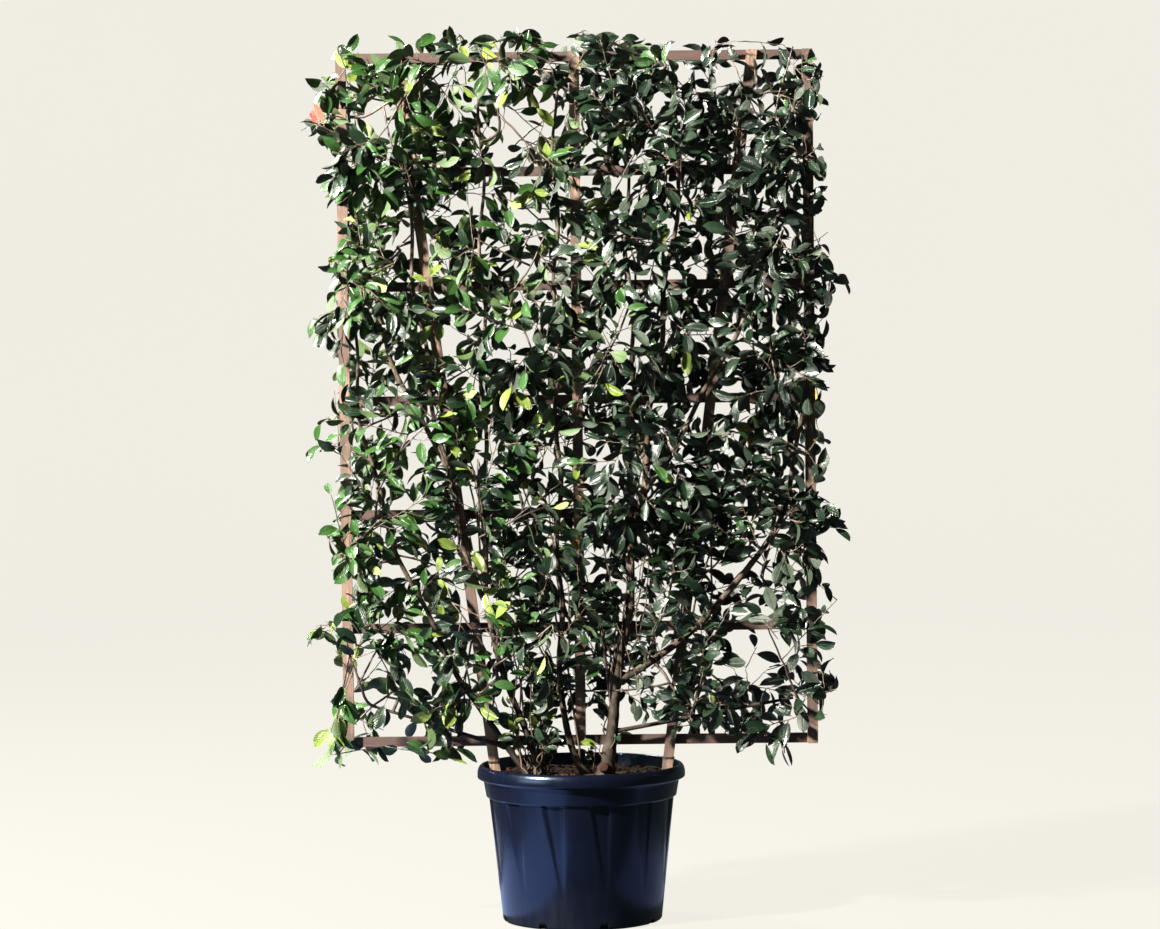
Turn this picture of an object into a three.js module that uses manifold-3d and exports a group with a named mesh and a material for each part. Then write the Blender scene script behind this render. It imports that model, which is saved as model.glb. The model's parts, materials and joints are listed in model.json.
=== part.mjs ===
// An espaliered evergreen shrub, a red-leaved photinia, in its ribbed nursery pot.
// Four stems rise close together, fan out in one plane and are tied to a lath trellis whose two
// slanting legs stand in the pot. Masses of foliage fill the panel, in front of it and behind.
// Millimetres, +Z up, the front at -Y, the origin in the middle of the pot's flat underside.
import * as THREE from "three";
import { mergeVertices } from "three/addons/utils/BufferGeometryUtils.js";
import Module from "manifold-3d";

const wasm = await Module();
wasm.setup();

// The gap between two pieces that touch.
const SEAT = 0.35;

// The pot: a moulded 65 litre container with a thick lip, a plain collar and twelve wedge flutes.
const POT_HEIGHT = 395;
const POT_FOOT_RADIUS = 201;
const POT_RIM_RADIUS = 263;
const POT_WALL = 4;
const FLOOR_THICKNESS = 6;
const FOOT_CHAMFER = 8;
const LIP_HEIGHT = 34;
const LIP_OVERHANG = 15;
const LIP_ROUND = 4;
const COLLAR_HEIGHT = 46;
const COLLAR_FOOT_RADIUS = 241;
const COLLAR_STEP = 7;
const FLUTES = 12;
const FLUTE_DEPTH = 6;
const FLUTE_FOOT = 70;
const FLUTE_RIGHT_EDGE = 6.5;
const FLUTE_LEFT_EDGE = -7;
const FLUTE_FOOT_EDGE = 3.5;
const FLUTE_TURN = 12;
const POT_SEGMENTS = 72;
const DRAINS = 8;
const DRAIN_TURN = -29.5;
const DRAIN_WIDTH = 22;
const DRAIN_HEIGHT = 12;
const DRAIN_DEPTH = 26;

// The soil stands a little under the rim.
const SOIL_TOP = POT_HEIGHT - 27;

// The trellis: square laths, the upright ones nailed on the front of the level ones.
const PANEL_WIDTH = 1200;
const PANEL_TOP = 2194;
const PANEL_BOTTOM = 442;
const RAILS = 7;
const UPRIGHT_WIDTH = 26;
const UPRIGHT_DEPTH = 18;
const RAIL_HEIGHT = 24;
const RAIL_DEPTH = 18;
const LEG_TOP_X = 448;
const LEG_SOIL_X = 216;
const LEG_IN_SOIL = 240;

// The stems and boughs, all in one plane before the trellis. Each leans out from where it starts and
// turns up towards its end, by the power in turn. A stem starts at its foot on the soil, and a bough
// at a height on the limb that it comes from. The one thick stem thins fast where it forks.
const LIMB_PLANE_Y = -34;
const STEM_SIDES = 7;
const BOUGH_SIDES = 6;
const LIMB_STEP = 180;
const TAPER = 0.8;
const FLARE = 0.55;
const FLARE_HEIGHT = 30;
const WANDER = 7;
const WANDER_LENGTH = 330;
const BELOW_GROUND = 30;
const LIMBS = [
  { name: "stem_left_low", foot: [-134, -28], end: [-560, 1500], turn: 2, radius: [7.5, 4] },
  { name: "stem_left", foot: [-98, -34], end: [-430, 2090], turn: 2, radius: [8, 4] },
  { name: "stem_middle", foot: [14, -28], end: [-50, 2120], turn: 22, radius: [9, 3.5] },
  { name: "stem_right", foot: [62, -34], end: [290, 2110], turn: 1.05, radius: [18, 4], taper: 0.5 },
  { name: "bough_left_bottom", from: "stem_left_low", at: 440, end: [-525, 548], turn: 1, radius: [6, 3.5] },
  { name: "bough_left_high", from: "stem_left", at: 1150, end: [-560, 2075], turn: 2.5, radius: [7, 3.5] },
  { name: "bough_left_inner", from: "stem_left", at: 800, end: [-235, 2075], turn: 1.3, radius: [7, 3.5] },
  { name: "bough_right_bottom", from: "stem_right", at: 478, end: [530, 560], turn: 1, radius: [6, 3.5] },
  { name: "bough_right_mid", from: "stem_right", at: 600, end: [570, 1480], turn: 3.1, radius: [10, 4] },
  { name: "bough_right_high", from: "stem_right", at: 1080, end: [556, 2090], turn: 1.8, radius: [7, 3.5] },
  { name: "bough_right_inner", from: "stem_right", at: 1130, end: [128, 2075], turn: 3, radius: [6.5, 3.5] },
];

// The masses of foliage: two layers of them, before the limbs and behind the trellis, each a
// jittered grid of spaces.
const CROWN_HALF_WIDTH = 672;
const CROWN_TOP = 2250;
const CROWN_BOTTOM = 384;
const CROWN_OVER_POT = 500;
const CROWN_WAVE = 14;
const CROWN_SEED = 2235;
const JITTER = 0.1;
const SPACE_GAP = 1.2;
const FRONT = { name: "front", columns: 4, rows: 4, outward: -1, inner: -54, outer: -172 };
const BACK = { name: "back", columns: 3, rows: 5, outward: 1, inner: 24, outer: 150 };
const LAYERS = [
  { ...FRONT, heart: -62, reach: [8, 46], fork: -86 },
  { ...BACK, heart: -34, reach: [42, 100], fork: 60 },
];

// The clear sky between the masses, as places where no blade has its middle.
const SKY = [
  { x: -190, z: 1925, radius: 70 },
  { x: -436, z: 1720, radius: 52 },
  { x: -440, z: 1180, radius: 50 },
  { x: -436, z: 930, radius: 46 },
  { x: 452, z: 700, radius: 66 },
  { x: -470, z: 540, radius: 55 },
];

// Twigs and leaves. A leaf here stands for a spray of leaves along one shoot.
const MASS_STEM_RADIUS = 8;
const TWIG_RADIUS = 6;
const TWIG_TIP_RADIUS = 4.5;
const SEAT_STEPS = 200;
const SEAT_MARGIN = 14;
const SEATS_APART = 44;
const HEART_TRIES = 60;
const TWIGS = 3;
const TWIG_TRIES = 24;
const TWIG_LENGTH = [140, 260];
const TWIG_BEND = 34;
const TWIG_MARGIN = 26;
const TWIG_INSET = 24;
const STATIONS = [0.4, 0.62, 0.82, 1];
const LEAF_LENGTH = 200;
const LEAF_WIDTH = 128;
const LEAF_THICKNESS = 3.2;
const LEAF_SIZES = [0.75, 1.15];
const LEAF_WIDEST = 0.48;
const LEAF_CUP = 9;
const LEAF_DROOP = 16;
const LEAF_SUNK = 3;
const LEAF_TRIES = 100;
const LEAF_TILT = 0.6;
const LEAF_GAP = 4;
const ROOM_ENOUGH = 160;
const SIZE_WORTH = 60;
const LATH_CLEARANCE = 2;
const LIMB_CLEARANCE = 2;

const PLASTIC = new THREE.MeshStandardMaterial({ color: 0x161d33, roughness: 0.38, metalness: 0 });
const SOIL = new THREE.MeshStandardMaterial({ color: 0x2a1a13, roughness: 0.95, metalness: 0 });
const LATH = new THREE.MeshStandardMaterial({ color: 0xa87258, roughness: 0.8, metalness: 0 });
const BARK = new THREE.MeshStandardMaterial({ color: 0x6b5a48, roughness: 0.85, metalness: 0 });
const FOLIAGE = new THREE.MeshStandardMaterial({ color: 0x1f4a26, roughness: 0.35, metalness: 0 });

const radians = (degrees) => (degrees * Math.PI) / 180;

// A closed geometry as a solid that can be joined and cut.
function solidOf(geometry) {
  const bare = geometry.clone();
  for (const key of Object.keys(bare.attributes)) {
    if (key !== "position") bare.deleteAttribute(key);
  }
  const merged = mergeVertices(bare, 1e-4);
  const corners = merged.index.array;
  const kept = [];
  for (let i = 0; i < corners.length; i += 3) {
    const [a, b, c] = corners.slice(i, i + 3);
    if (a !== b && b !== c && c !== a) kept.push(a, b, c);
  }
  return new wasm.Manifold(
    new wasm.Mesh({
      numProp: 3,
      vertProperties: merged.attributes.position.array,
      triVerts: new Uint32Array(kept),
    }),
  );
}

// A solid as a named mesh.
function meshOf(name, solid, material) {
  const { numProp, vertProperties, triVerts } = solid.getMesh();
  const positions = new Float32Array((vertProperties.length / numProp) * 3);
  for (let i = 0; i < positions.length / 3; i++) {
    positions.set(vertProperties.subarray(i * numProp, i * numProp + 3), i * 3);
  }
  const geometry = new THREE.BufferGeometry();
  geometry.setAttribute("position", new THREE.BufferAttribute(positions, 3));
  geometry.setIndex(new THREE.BufferAttribute(triVerts, 1));
  geometry.computeVertexNormals();
  const mesh = new THREE.Mesh(geometry, material);
  mesh.name = name;
  return mesh;
}

// Numbers from 0 to 1 that a seed fixes.
function stream(seed) {
  let state = seed >>> 0;
  return () => {
    state = (Math.imul(state, 1664525) + 1013904223) >>> 0;
    return state / 4294967296;
  };
}

// The body's outer radius at a height, under the collar.
const COLLAR_FOOT = POT_HEIGHT - LIP_HEIGHT - COLLAR_HEIGHT;
const COLLAR_TOP = POT_HEIGHT - LIP_HEIGHT;
const COLLAR_TOP_RADIUS = POT_RIM_RADIUS - LIP_OVERHANG;
const BODY_TOP_RADIUS = COLLAR_FOOT_RADIUS - COLLAR_STEP;
function bodyRadius(z) {
  return POT_FOOT_RADIUS + ((BODY_TOP_RADIUS - POT_FOOT_RADIUS) * z) / COLLAR_FOOT;
}

// Where a point of the wall goes, in degrees from a flute's middle. A flute's right edge is upright,
// and its left edge slants in until the flute is almost closed at its foot.
function fluteOffset(offset, share) {
  const right = FLUTE_RIGHT_EDGE;
  const left = FLUTE_FOOT_EDGE + (FLUTE_LEFT_EDGE - FLUTE_FOOT_EDGE) * share;
  const half = (right - left) / 2;
  const reach = [0, 0.74, 1][Math.round(Math.abs(offset) / (360 / POT_SEGMENTS))];
  return (right + left) / 2 + Math.sign(offset) * half * reach;
}

// Draws a wall's points in towards the axis in twelve wedges, deepest under the collar.
function flute(geometry) {
  const at = geometry.attributes.position;
  const pitch = 360 / FLUTES;
  const step = 360 / POT_SEGMENTS;
  for (let i = 0; i < at.count; i++) {
    const z = at.getZ(i);
    const radius = Math.hypot(at.getX(i), at.getY(i));
    if (z < FLUTE_FOOT || z > COLLAR_FOOT || radius < POT_FOOT_RADIUS / 2) continue;
    const share = (z - FLUTE_FOOT) / (COLLAR_FOOT - FLUTE_FOOT);
    const turn = (Math.atan2(at.getX(i), -at.getY(i)) * 180) / Math.PI;
    const nearest = Math.round(turn / pitch) * pitch;
    const offset = turn - nearest;
    if (Math.abs(offset) > 2.1 * step) continue;
    const moved = radians(nearest + fluteOffset(offset, share));
    const drawn = radius - (Math.abs(offset) < 1.1 * step ? FLUTE_DEPTH * share : 0);
    at.setX(i, drawn * Math.sin(moved));
    at.setY(i, -drawn * Math.cos(moved));
  }
}

// The moulded pot, turned from one profile, fluted, with drain slots through the edge of its foot.
function pot() {
  const inside = (z) => bodyRadius(z) - POT_WALL;
  const outline = [
    [0, 0],
    [POT_FOOT_RADIUS - FOOT_CHAMFER, 0],
    [bodyRadius(FOOT_CHAMFER), FOOT_CHAMFER],
    [bodyRadius(FLUTE_FOOT), FLUTE_FOOT],
    [bodyRadius(COLLAR_FOOT - 1), COLLAR_FOOT - 1],
    [COLLAR_FOOT_RADIUS, COLLAR_FOOT + 1],
    [COLLAR_TOP_RADIUS, COLLAR_TOP],
    [POT_RIM_RADIUS, COLLAR_TOP + 1],
    [POT_RIM_RADIUS, POT_HEIGHT - LIP_ROUND],
    [POT_RIM_RADIUS - LIP_ROUND, POT_HEIGHT],
    [POT_RIM_RADIUS - LIP_OVERHANG, POT_HEIGHT],
    [inside(COLLAR_FOOT), COLLAR_FOOT],
    [inside(FLOOR_THICKNESS), FLOOR_THICKNESS],
    [0, FLOOR_THICKNESS],
  ];
  const points = outline.map(([radius, z]) => new THREE.Vector2(radius, z));
  const turned = new THREE.LatheGeometry(points, POT_SEGMENTS);
  turned.rotateX(Math.PI / 2);
  flute(turned);
  turned.rotateZ(radians(FLUTE_TURN));
  let shell = solidOf(turned);
  for (let i = 0; i < DRAINS; i++) {
    const slot = new THREE.BoxGeometry(DRAIN_WIDTH, DRAIN_DEPTH, DRAIN_HEIGHT * 2);
    slot.translate(0, -POT_FOOT_RADIUS, 0);
    slot.rotateZ(radians(DRAIN_TURN + (i * 360) / DRAINS));
    shell = shell.subtract(solidOf(slot));
  }
  return shell;
}

// A slanting or upright lath between two points of the trellis plane, grown by a gap all round.
function upright(xLow, zLow, xHigh, zHigh, gap = 0) {
  const lean = Math.atan2(xHigh - xLow, zHigh - zLow);
  const length = Math.hypot(xHigh - xLow, zHigh - zLow);
  const box = new THREE.BoxGeometry(UPRIGHT_WIDTH + 2 * gap, UPRIGHT_DEPTH + 2 * gap, length + 2 * gap);
  box.rotateY(lean);
  box.translate((xLow + xHigh) / 2, -UPRIGHT_DEPTH / 2, (zLow + zHigh) / 2);
  return solidOf(box);
}

// A slanting leg on one side, cut level with the top of the panel, its end well down in the soil.
const LEG_SLOPE = (LEG_TOP_X - LEG_SOIL_X) / (PANEL_TOP - SOIL_TOP);
function leg(side, gap = 0) {
  const zLow = SOIL_TOP - LEG_IN_SOIL;
  const zHigh = PANEL_TOP + UPRIGHT_WIDTH;
  const x = (z) => side * (LEG_SOIL_X + LEG_SLOPE * (z - SOIL_TOP));
  const above = new THREE.BoxGeometry(PANEL_WIDTH, 4 * UPRIGHT_DEPTH, 4 * UPRIGHT_WIDTH);
  above.translate(0, 0, PANEL_TOP + 2 * UPRIGHT_WIDTH);
  return upright(x(zLow), zLow, x(zHigh), zHigh, gap).subtract(solidOf(above));
}

// The height of a rail's middle, counted from the bottom one.
function railHeight(i) {
  const low = PANEL_BOTTOM + RAIL_HEIGHT / 2;
  const high = PANEL_TOP - RAIL_HEIGHT / 2;
  return low + ((high - low) * i) / (RAILS - 1);
}

// A level lath on the back of the upright ones, as long as the panel is wide.
function rail(i) {
  const box = new THREE.BoxGeometry(PANEL_WIDTH, RAIL_DEPTH, RAIL_HEIGHT);
  box.translate(0, SEAT + RAIL_DEPTH / 2, railHeight(i));
  return solidOf(box);
}

// The soil: it fills the pot to under the rim, with a slot for each leg.
function soil() {
  const clear = (radius) => radius - POT_WALL - SEAT;
  const outline = [
    [0, FLOOR_THICKNESS + SEAT],
    [clear(bodyRadius(FLOOR_THICKNESS)) - 1, FLOOR_THICKNESS + SEAT],
    [clear(bodyRadius(COLLAR_FOOT)) - FLUTE_DEPTH - 1, COLLAR_FOOT],
    [clear(COLLAR_FOOT_RADIUS), SOIL_TOP],
    [0, SOIL_TOP],
  ];
  const points = outline.map(([radius, z]) => new THREE.Vector2(radius, z));
  const filling = new THREE.LatheGeometry(points, POT_SEGMENTS / 2);
  filling.rotateX(Math.PI / 2);
  return solidOf(filling).subtract(leg(-1, SEAT)).subtract(leg(1, SEAT));
}

// A limb's middle line: share 0 is its start and 1 its end.
function limbPoint(limb, share) {
  const [x0, y0, z0] = limb.start;
  const [x1, z1] = limb.end;
  const z = z0 + (z1 - z0) * share;
  const lean = 1 - Math.pow(1 - share, limb.turn);
  const wander = WANDER * Math.sin((z - z0) / (WANDER_LENGTH / (2 * Math.PI))) * Math.min(1, share * 4);
  const depth = y0 + (LIMB_PLANE_Y - y0) * Math.min(1, share * 4);
  return new THREE.Vector3(x0 + (x1 - x0) * lean + wander, depth, z);
}

// A limb's radius: a taper that is fastest at its start, with a root flare on a stem.
function limbRadius(limb, share) {
  const [thick, thin] = limb.radius;
  const [, , z0] = limb.start;
  const height = (limb.end[1] - z0) * share;
  const flare = limb.foot ? FLARE * Math.exp(-Math.max(0, height) / FLARE_HEIGHT) : 0;
  return thick * (1 + flare) + (thin - thick) * Math.pow(Math.max(0, share), limb.taper ?? TAPER);
}

// Where each limb starts: a stem at its foot, a bough in the middle of its parent.
for (const limb of LIMBS) {
  if (limb.foot) {
    limb.start = [...limb.foot, SOIL_TOP + SEAT];
  } else {
    const parent = LIMBS.find((other) => other.name === limb.from);
    const share = (limb.at - parent.start[2]) / (parent.end[1] - parent.start[2]);
    limb.start = limbPoint(parent, share).toArray();
  }
}

// Bends a tapering cylinder along a limb's middle line. Its rings stand square to the line.
function limbSolid(limb, gap = 0) {
  const rise = Math.hypot(limb.end[1] - limb.start[2], limb.end[0] - limb.start[0]);
  const steps = Math.ceil(rise / LIMB_STEP) + (limb.foot ? 2 : 0);
  const sides = limb.foot ? STEM_SIDES : BOUGH_SIDES;
  const tube = new THREE.CylinderGeometry(1, 1, 1, sides, steps);
  tube.rotateX(Math.PI / 2);
  const at = tube.attributes.position;
  const first = limb.foot ? -BELOW_GROUND / (limb.end[1] - limb.start[2]) : 0;
  for (let i = 0; i < at.count; i++) {
    const even = at.getZ(i) + 0.5;
    const share = first + (1 - first) * (limb.foot ? Math.pow(even, 1.7) : even);
    const middle = limbPoint(limb, Math.max(0, share));
    const ahead = limbPoint(limb, Math.min(1, Math.max(0, share) + 0.01));
    const behind = limbPoint(limb, Math.max(0, share - 0.01));
    const along = ahead.sub(behind).normalize();
    const side = new THREE.Vector3(0, 1, 0).cross(along).normalize();
    const front = along.clone().cross(side);
    if (share < 0) middle.addScaledVector(along, share * (limb.end[1] - limb.start[2]));
    const radius = limbRadius(limb, share) + gap;
    middle.addScaledVector(side, at.getX(i) * radius).addScaledVector(front, at.getY(i) * radius);
    at.setXYZ(i, middle.x, middle.y, middle.z);
  }
  return solidOf(tube);
}

// Everything under the soil's top, for the stems' flat cuts.
function ground() {
  const block = new THREE.BoxGeometry(PANEL_WIDTH, PANEL_WIDTH, 4 * BELOW_GROUND);
  block.translate(0, 0, SOIL_TOP + SEAT - 2 * BELOW_GROUND);
  return solidOf(block);
}

// The laths as middle lines in the trellis plane, for keeping twigs clear of them.
const POST_X = (PANEL_WIDTH - UPRIGHT_WIDTH) / 2;
const UPRIGHT_LINES = [
  [-POST_X, PANEL_BOTTOM, -POST_X],
  [-LEG_SOIL_X, SOIL_TOP, -LEG_TOP_X],
  [0, PANEL_BOTTOM, 0],
  [LEG_SOIL_X, SOIL_TOP, LEG_TOP_X],
  [POST_X, PANEL_BOTTOM, POST_X],
];
const LATHS = UPRIGHT_LINES.map(([x0, z0, x1]) => {
  return { x0, z0, x1, z1: PANEL_TOP, half: UPRIGHT_WIDTH / 2, back: -UPRIGHT_DEPTH, front: 0 };
});
for (let i = 0; i < RAILS; i++) {
  const z = railHeight(i);
  const [half, x] = [RAIL_HEIGHT / 2, PANEL_WIDTH / 2];
  LATHS.push({ x0: -x, z0: z, x1: x, z1: z, half, back: 0, front: RAIL_DEPTH });
}

// True where a round twig from a to b keeps clear of every lath.
function clearOfLaths(a, b, radius) {
  const room = radius + LATH_CLEARANCE;
  return LATHS.every((lath) => {
    const ux = lath.x1 - lath.x0;
    const uz = lath.z1 - lath.z0;
    const length = Math.hypot(ux, uz);
    const local = (p) => {
      const dx = p.x - lath.x0;
      const dz = p.z - lath.z0;
      return [(dx * ux + dz * uz) / length, (dx * uz - dz * ux) / length, p.y];
    };
    const low = [-room, -lath.half - room, lath.back - room];
    const high = [length + room, lath.half + room, lath.front + room];
    const from = local(a);
    const to = local(b);
    let enter = 0;
    let leave = 1;
    for (let k = 0; k < 3; k++) {
      const step = to[k] - from[k];
      if (Math.abs(step) < 1e-9) {
        if (from[k] < low[k] || from[k] > high[k]) return true;
        continue;
      }
      const s = (low[k] - from[k]) / step;
      const t = (high[k] - from[k]) / step;
      enter = Math.max(enter, Math.min(s, t));
      leave = Math.min(leave, Math.max(s, t));
    }
    return enter > leave;
  });
}

// The least distance between the lines p to q and r to s.
function lineGap(p, q, r, s) {
  const u = q.clone().sub(p);
  const v = s.clone().sub(r);
  const w = p.clone().sub(r);
  const a = u.dot(u);
  const b = u.dot(v);
  const c = v.dot(v);
  const d = u.dot(w);
  const e = v.dot(w);
  const f = a * c - b * b;
  const clamp = (x) => Math.min(1, Math.max(0, x));
  let i = f > 1e-9 ? clamp((b * e - c * d) / f) : 0;
  const j = clamp((b * i + e) / c);
  i = clamp((b * j - d) / a);
  return w.addScaledVector(u, i).addScaledVector(v, -j).length();
}

// The limbs as short straight lengths, for keeping twigs and leaves clear of them.
const LENGTHS = [];
const LENGTHS_IN_LIMB = 24;
for (const limb of LIMBS) {
  for (let i = 0; i < LENGTHS_IN_LIMB; i++) {
    const share = i / LENGTHS_IN_LIMB;
    LENGTHS.push({
      limb: limb.name,
      from: limbPoint(limb, share),
      to: limbPoint(limb, (i + 1) / LENGTHS_IN_LIMB),
      radius: limbRadius(limb, share),
    });
  }
}

// True where a round twig from a to b keeps clear of the limbs.
function clearOfLimbs(a, b, twigRadius) {
  const low = Math.min(a.z, b.z) - 60;
  const high = Math.max(a.z, b.z) + 60;
  return LENGTHS.every(({ from, to, radius }) => {
    if (to.z < low || from.z > high) return true;
    return lineGap(a, b, from, to) > radius + twigRadius + LIMB_CLEARANCE;
  });
}

// The middles of the masses' spaces, row by row from the bottom, in front and then behind.
function massPlaces() {
  const next = stream(CROWN_SEED);
  const places = [];
  for (const layer of LAYERS) {
    const width = (2 * CROWN_HALF_WIDTH) / layer.columns;
    const height = (CROWN_TOP - CROWN_BOTTOM) / layer.rows;
    for (let row = 0; row < layer.rows; row++) {
      for (let column = 0; column < layer.columns; column++) {
        const x = -CROWN_HALF_WIDTH + (column + 0.5 + (next() * 2 - 1) * JITTER) * width;
        const z = CROWN_BOTTOM + (row + 0.5 + (next() * 2 - 1) * JITTER) * height;
        places.push({ name: `foliage_${layer.name}_${row + 1}_${column + 1}`, layer, x, z });
      }
    }
  }
  return places;
}
const PLACES = massPlaces();

// True where a point lies over a mass's own ground: in the crown's outline, and nearer the mass's
// middle than the middle of any other in its layer.
function overSpace(place, p, margin) {
  const wave = CROWN_WAVE * (Math.sin(p.z / 61) + Math.sin(p.z / 23 + 2));
  const swell = (CROWN_WAVE / 2) * (Math.sin(p.x / 67 + 1) + Math.sin(p.x / 29));
  const bottom = Math.abs(p.x) < POT_RIM_RADIUS - 30 ? CROWN_OVER_POT : CROWN_BOTTOM + CROWN_WAVE;
  if (Math.abs(p.x) > CROWN_HALF_WIDTH + wave - margin) return false;
  if (p.z > CROWN_TOP - CROWN_WAVE + swell - margin) return false;
  if (p.z < bottom + swell + margin) return false;
  return PLACES.every((other) => {
    if (other === place || other.layer !== place.layer) return true;
    const own = (p.x - place.x) ** 2 + (p.z - place.z) ** 2;
    const theirs = (p.x - other.x) ** 2 + (p.z - other.z) ** 2;
    const apart = Math.hypot(other.x - place.x, other.z - place.z);
    return (theirs - own) / (2 * apart) >= margin + SPACE_GAP;
  });
}

// True where a point lies in a mass's layer too.
function inSpace(place, p, margin) {
  const { outward, inner, outer } = place.layer;
  if (outward * (p.y - inner) < 0 || outward * (outer - p.y) < margin) return false;
  return overSpace(place, p, margin);
}

// The point of any limb, on its middle line, that lies nearest the middle of a mass's space, off
// the stems that have grown.
const stems = [];
function seatOf(place) {
  let best = null;
  for (const limb of LIMBS) {
    for (let i = 2; i < SEAT_STEPS; i++) {
      const p = limbPoint(limb, i / SEAT_STEPS);
      const gap = Math.hypot(p.x - place.x, p.z - place.z);
      if ((best && gap >= best.gap) || !overSpace(place, p, SEAT_MARGIN)) continue;
      if (stems.every((stem) => stem[0].distanceTo(p) > SEATS_APART)) best = { p, gap, limb };
    }
  }
  return best;
}

// True where a mass's stem from a to b keeps clear of every other mass's stem.
function clearOfStems(a, b) {
  return stems.every((stem) => {
    return stem.slice(1).every((p, k) => lineGap(a, b, stem[k], p) > 2 * MASS_STEM_RADIUS + LIMB_CLEARANCE);
  });
}

// Where a mass's stem turns out of the limbs' plane and where it enters its layer: of the places
// tried beside the limb that leave it a free way, the one nearest the middle of the mass's space.
function heartOf(place, seat, next) {
  const { layer } = place;
  let best = null;
  for (let i = 0; i < HEART_TRIES; i++) {
    const turn = next() * 2 * Math.PI;
    const reach = layer.reach[0] + (layer.reach[1] - layer.reach[0]) * next();
    const [lean, rise] = [(next() - 0.5) * 60, (next() - 0.5) * 60];
    const x = seat.p.x + reach * Math.cos(turn);
    const z = seat.p.z + reach * Math.sin(turn);
    const heart = new THREE.Vector3(x, layer.heart, z);
    const fork = new THREE.Vector3(x + lean, layer.fork, z + rise);
    const gap = Math.hypot(fork.x - place.x, fork.z - place.z);
    if (best && gap >= best.gap) continue;
    if (!overSpace(place, heart, TWIG_INSET) || !inSpace(place, fork, TWIG_INSET)) continue;
    const start = seat.p.clone().lerp(heart, 0.65);
    const clear = (a, b) => {
      return clearOfLaths(a, b, MASS_STEM_RADIUS) && clearOfLimbs(a, b, MASS_STEM_RADIUS);
    };
    if (!clear(start, heart) || !clear(heart, fork)) continue;
    if (clearOfStems(seat.p, heart) && clearOfStems(heart, fork)) best = { heart, fork, gap };
  }
  return best;
}

// A twig of a mass from a place on its growth: it bends once and stays in the layer. Of the ends
// tried, the one farthest from every other end grows.
function twigFrom(place, start, ends, next) {
  const { inner, outer, outward } = place.layer;
  let best = null;
  for (let i = 0; i < TWIG_TRIES; i++) {
    const turn = next() * 2 * Math.PI;
    const reach = TWIG_LENGTH[0] + (TWIG_LENGTH[1] - TWIG_LENGTH[0]) * next();
    const depth = inner + outward * TWIG_INSET + (outer - inner - 2 * outward * TWIG_INSET) * next();
    const end = new THREE.Vector3(
      start.x + reach * Math.cos(turn),
      depth,
      start.z + reach * Math.sin(turn),
    );
    const bend = start.clone().lerp(end, 0.5);
    bend.x += (next() - 0.5) * TWIG_BEND;
    bend.z += (next() - 0.5) * TWIG_BEND;
    const room = ends.reduce((least, q) => Math.min(least, Math.hypot(end.x - q.x, end.z - q.z)), 1e6);
    if (inSpace(place, end, TWIG_MARGIN) && (!best || room > best.room)) best = { bend, end, room };
  }
  return best;
}

// A leaf's corners: its root, tip and two sides, cupped and drooping.
function leafCorners({ root, along, side, normal, size }) {
  const at = (x, y, z) =>
    root.clone().addScaledVector(along, x).addScaledVector(side, y).addScaledVector(normal, z);
  const [length, half] = [LEAF_LENGTH * size, (LEAF_WIDTH / 2) * size];
  return {
    root: at(-LEAF_SUNK, 0, 0),
    tip: at(length, 0, -LEAF_DROOP),
    left: at(length * LEAF_WIDEST, half, LEAF_CUP),
    right: at(length * LEAF_WIDEST, -half, LEAF_CUP),
    middle: at(length * LEAF_WIDEST, 0, 0),
  };
}

// One draw of a leaf that turns its face outwards, to the front or to the back.
function drawLeaf(root, outward, next) {
  const fan = next() * 2 * Math.PI;
  const tilt = (next() - 0.5) * LEAF_TILT;
  const along = new THREE.Vector3(
    Math.cos(fan) * Math.cos(tilt),
    outward * Math.sin(tilt),
    Math.sin(fan) * Math.cos(tilt) - 0.12,
  ).normalize();
  const face = new THREE.Vector3((next() - 0.5) * 0.8, outward, (next() - 0.25) * 0.7);
  const side = face.cross(along).normalize();
  const normal = along.clone().cross(side);
  const size = LEAF_SIZES[0] + (LEAF_SIZES[1] - LEAF_SIZES[0]) * next();
  const leaf = { root, along, side, normal, size };
  return { ...leaf, corners: leafCorners(leaf) };
}

// The blades' two halves and their five edges, moved off along the leaf's face.
function bladeParts({ corners, normal }, offset) {
  const [root, tip, left, right] = [corners.root, corners.tip, corners.left, corners.right].map((p) =>
    p.clone().addScaledVector(normal, offset),
  );
  return {
    halves: [
      [root, left, tip],
      [root, right, tip],
    ],
    edges: [
      [root, left],
      [left, tip],
      [tip, right],
      [right, root],
      [root, tip],
    ],
  };
}

// True where the line from a to b passes through a triangle.
const ray = new THREE.Ray();
const hit = new THREE.Vector3();
function pierces([a, b], [p, q, r]) {
  ray.set(a, b.clone().sub(a).normalize());
  return Boolean(ray.intersectTriangle(p, q, r, false, hit)) && hit.distanceTo(a) <= a.distanceTo(b);
}

// True where two leaves cross, or pass closer than the gap that leaves keep.
function crosses(one, other) {
  if (one.corners.middle.distanceTo(other.corners.middle) > LEAF_LENGTH + LEAF_SUNK) return false;
  const fixed = bladeParts(other, 0);
  return [-LEAF_GAP, LEAF_GAP].some((offset) => {
    const moved = bladeParts(one, offset);
    return (
      moved.edges.some((edge) => fixed.halves.some((half) => pierces(edge, half))) ||
      fixed.edges.some((edge) => moved.halves.some((half) => pierces(edge, half)))
    );
  });
}

// True where a leaf lies across a twig.
function crossesTwig(leaf, { points }) {
  const { halves } = bladeParts(leaf, 0);
  return points.slice(1).some((p, k) => halves.some((half) => pierces([points[k], p], half)));
}

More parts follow.
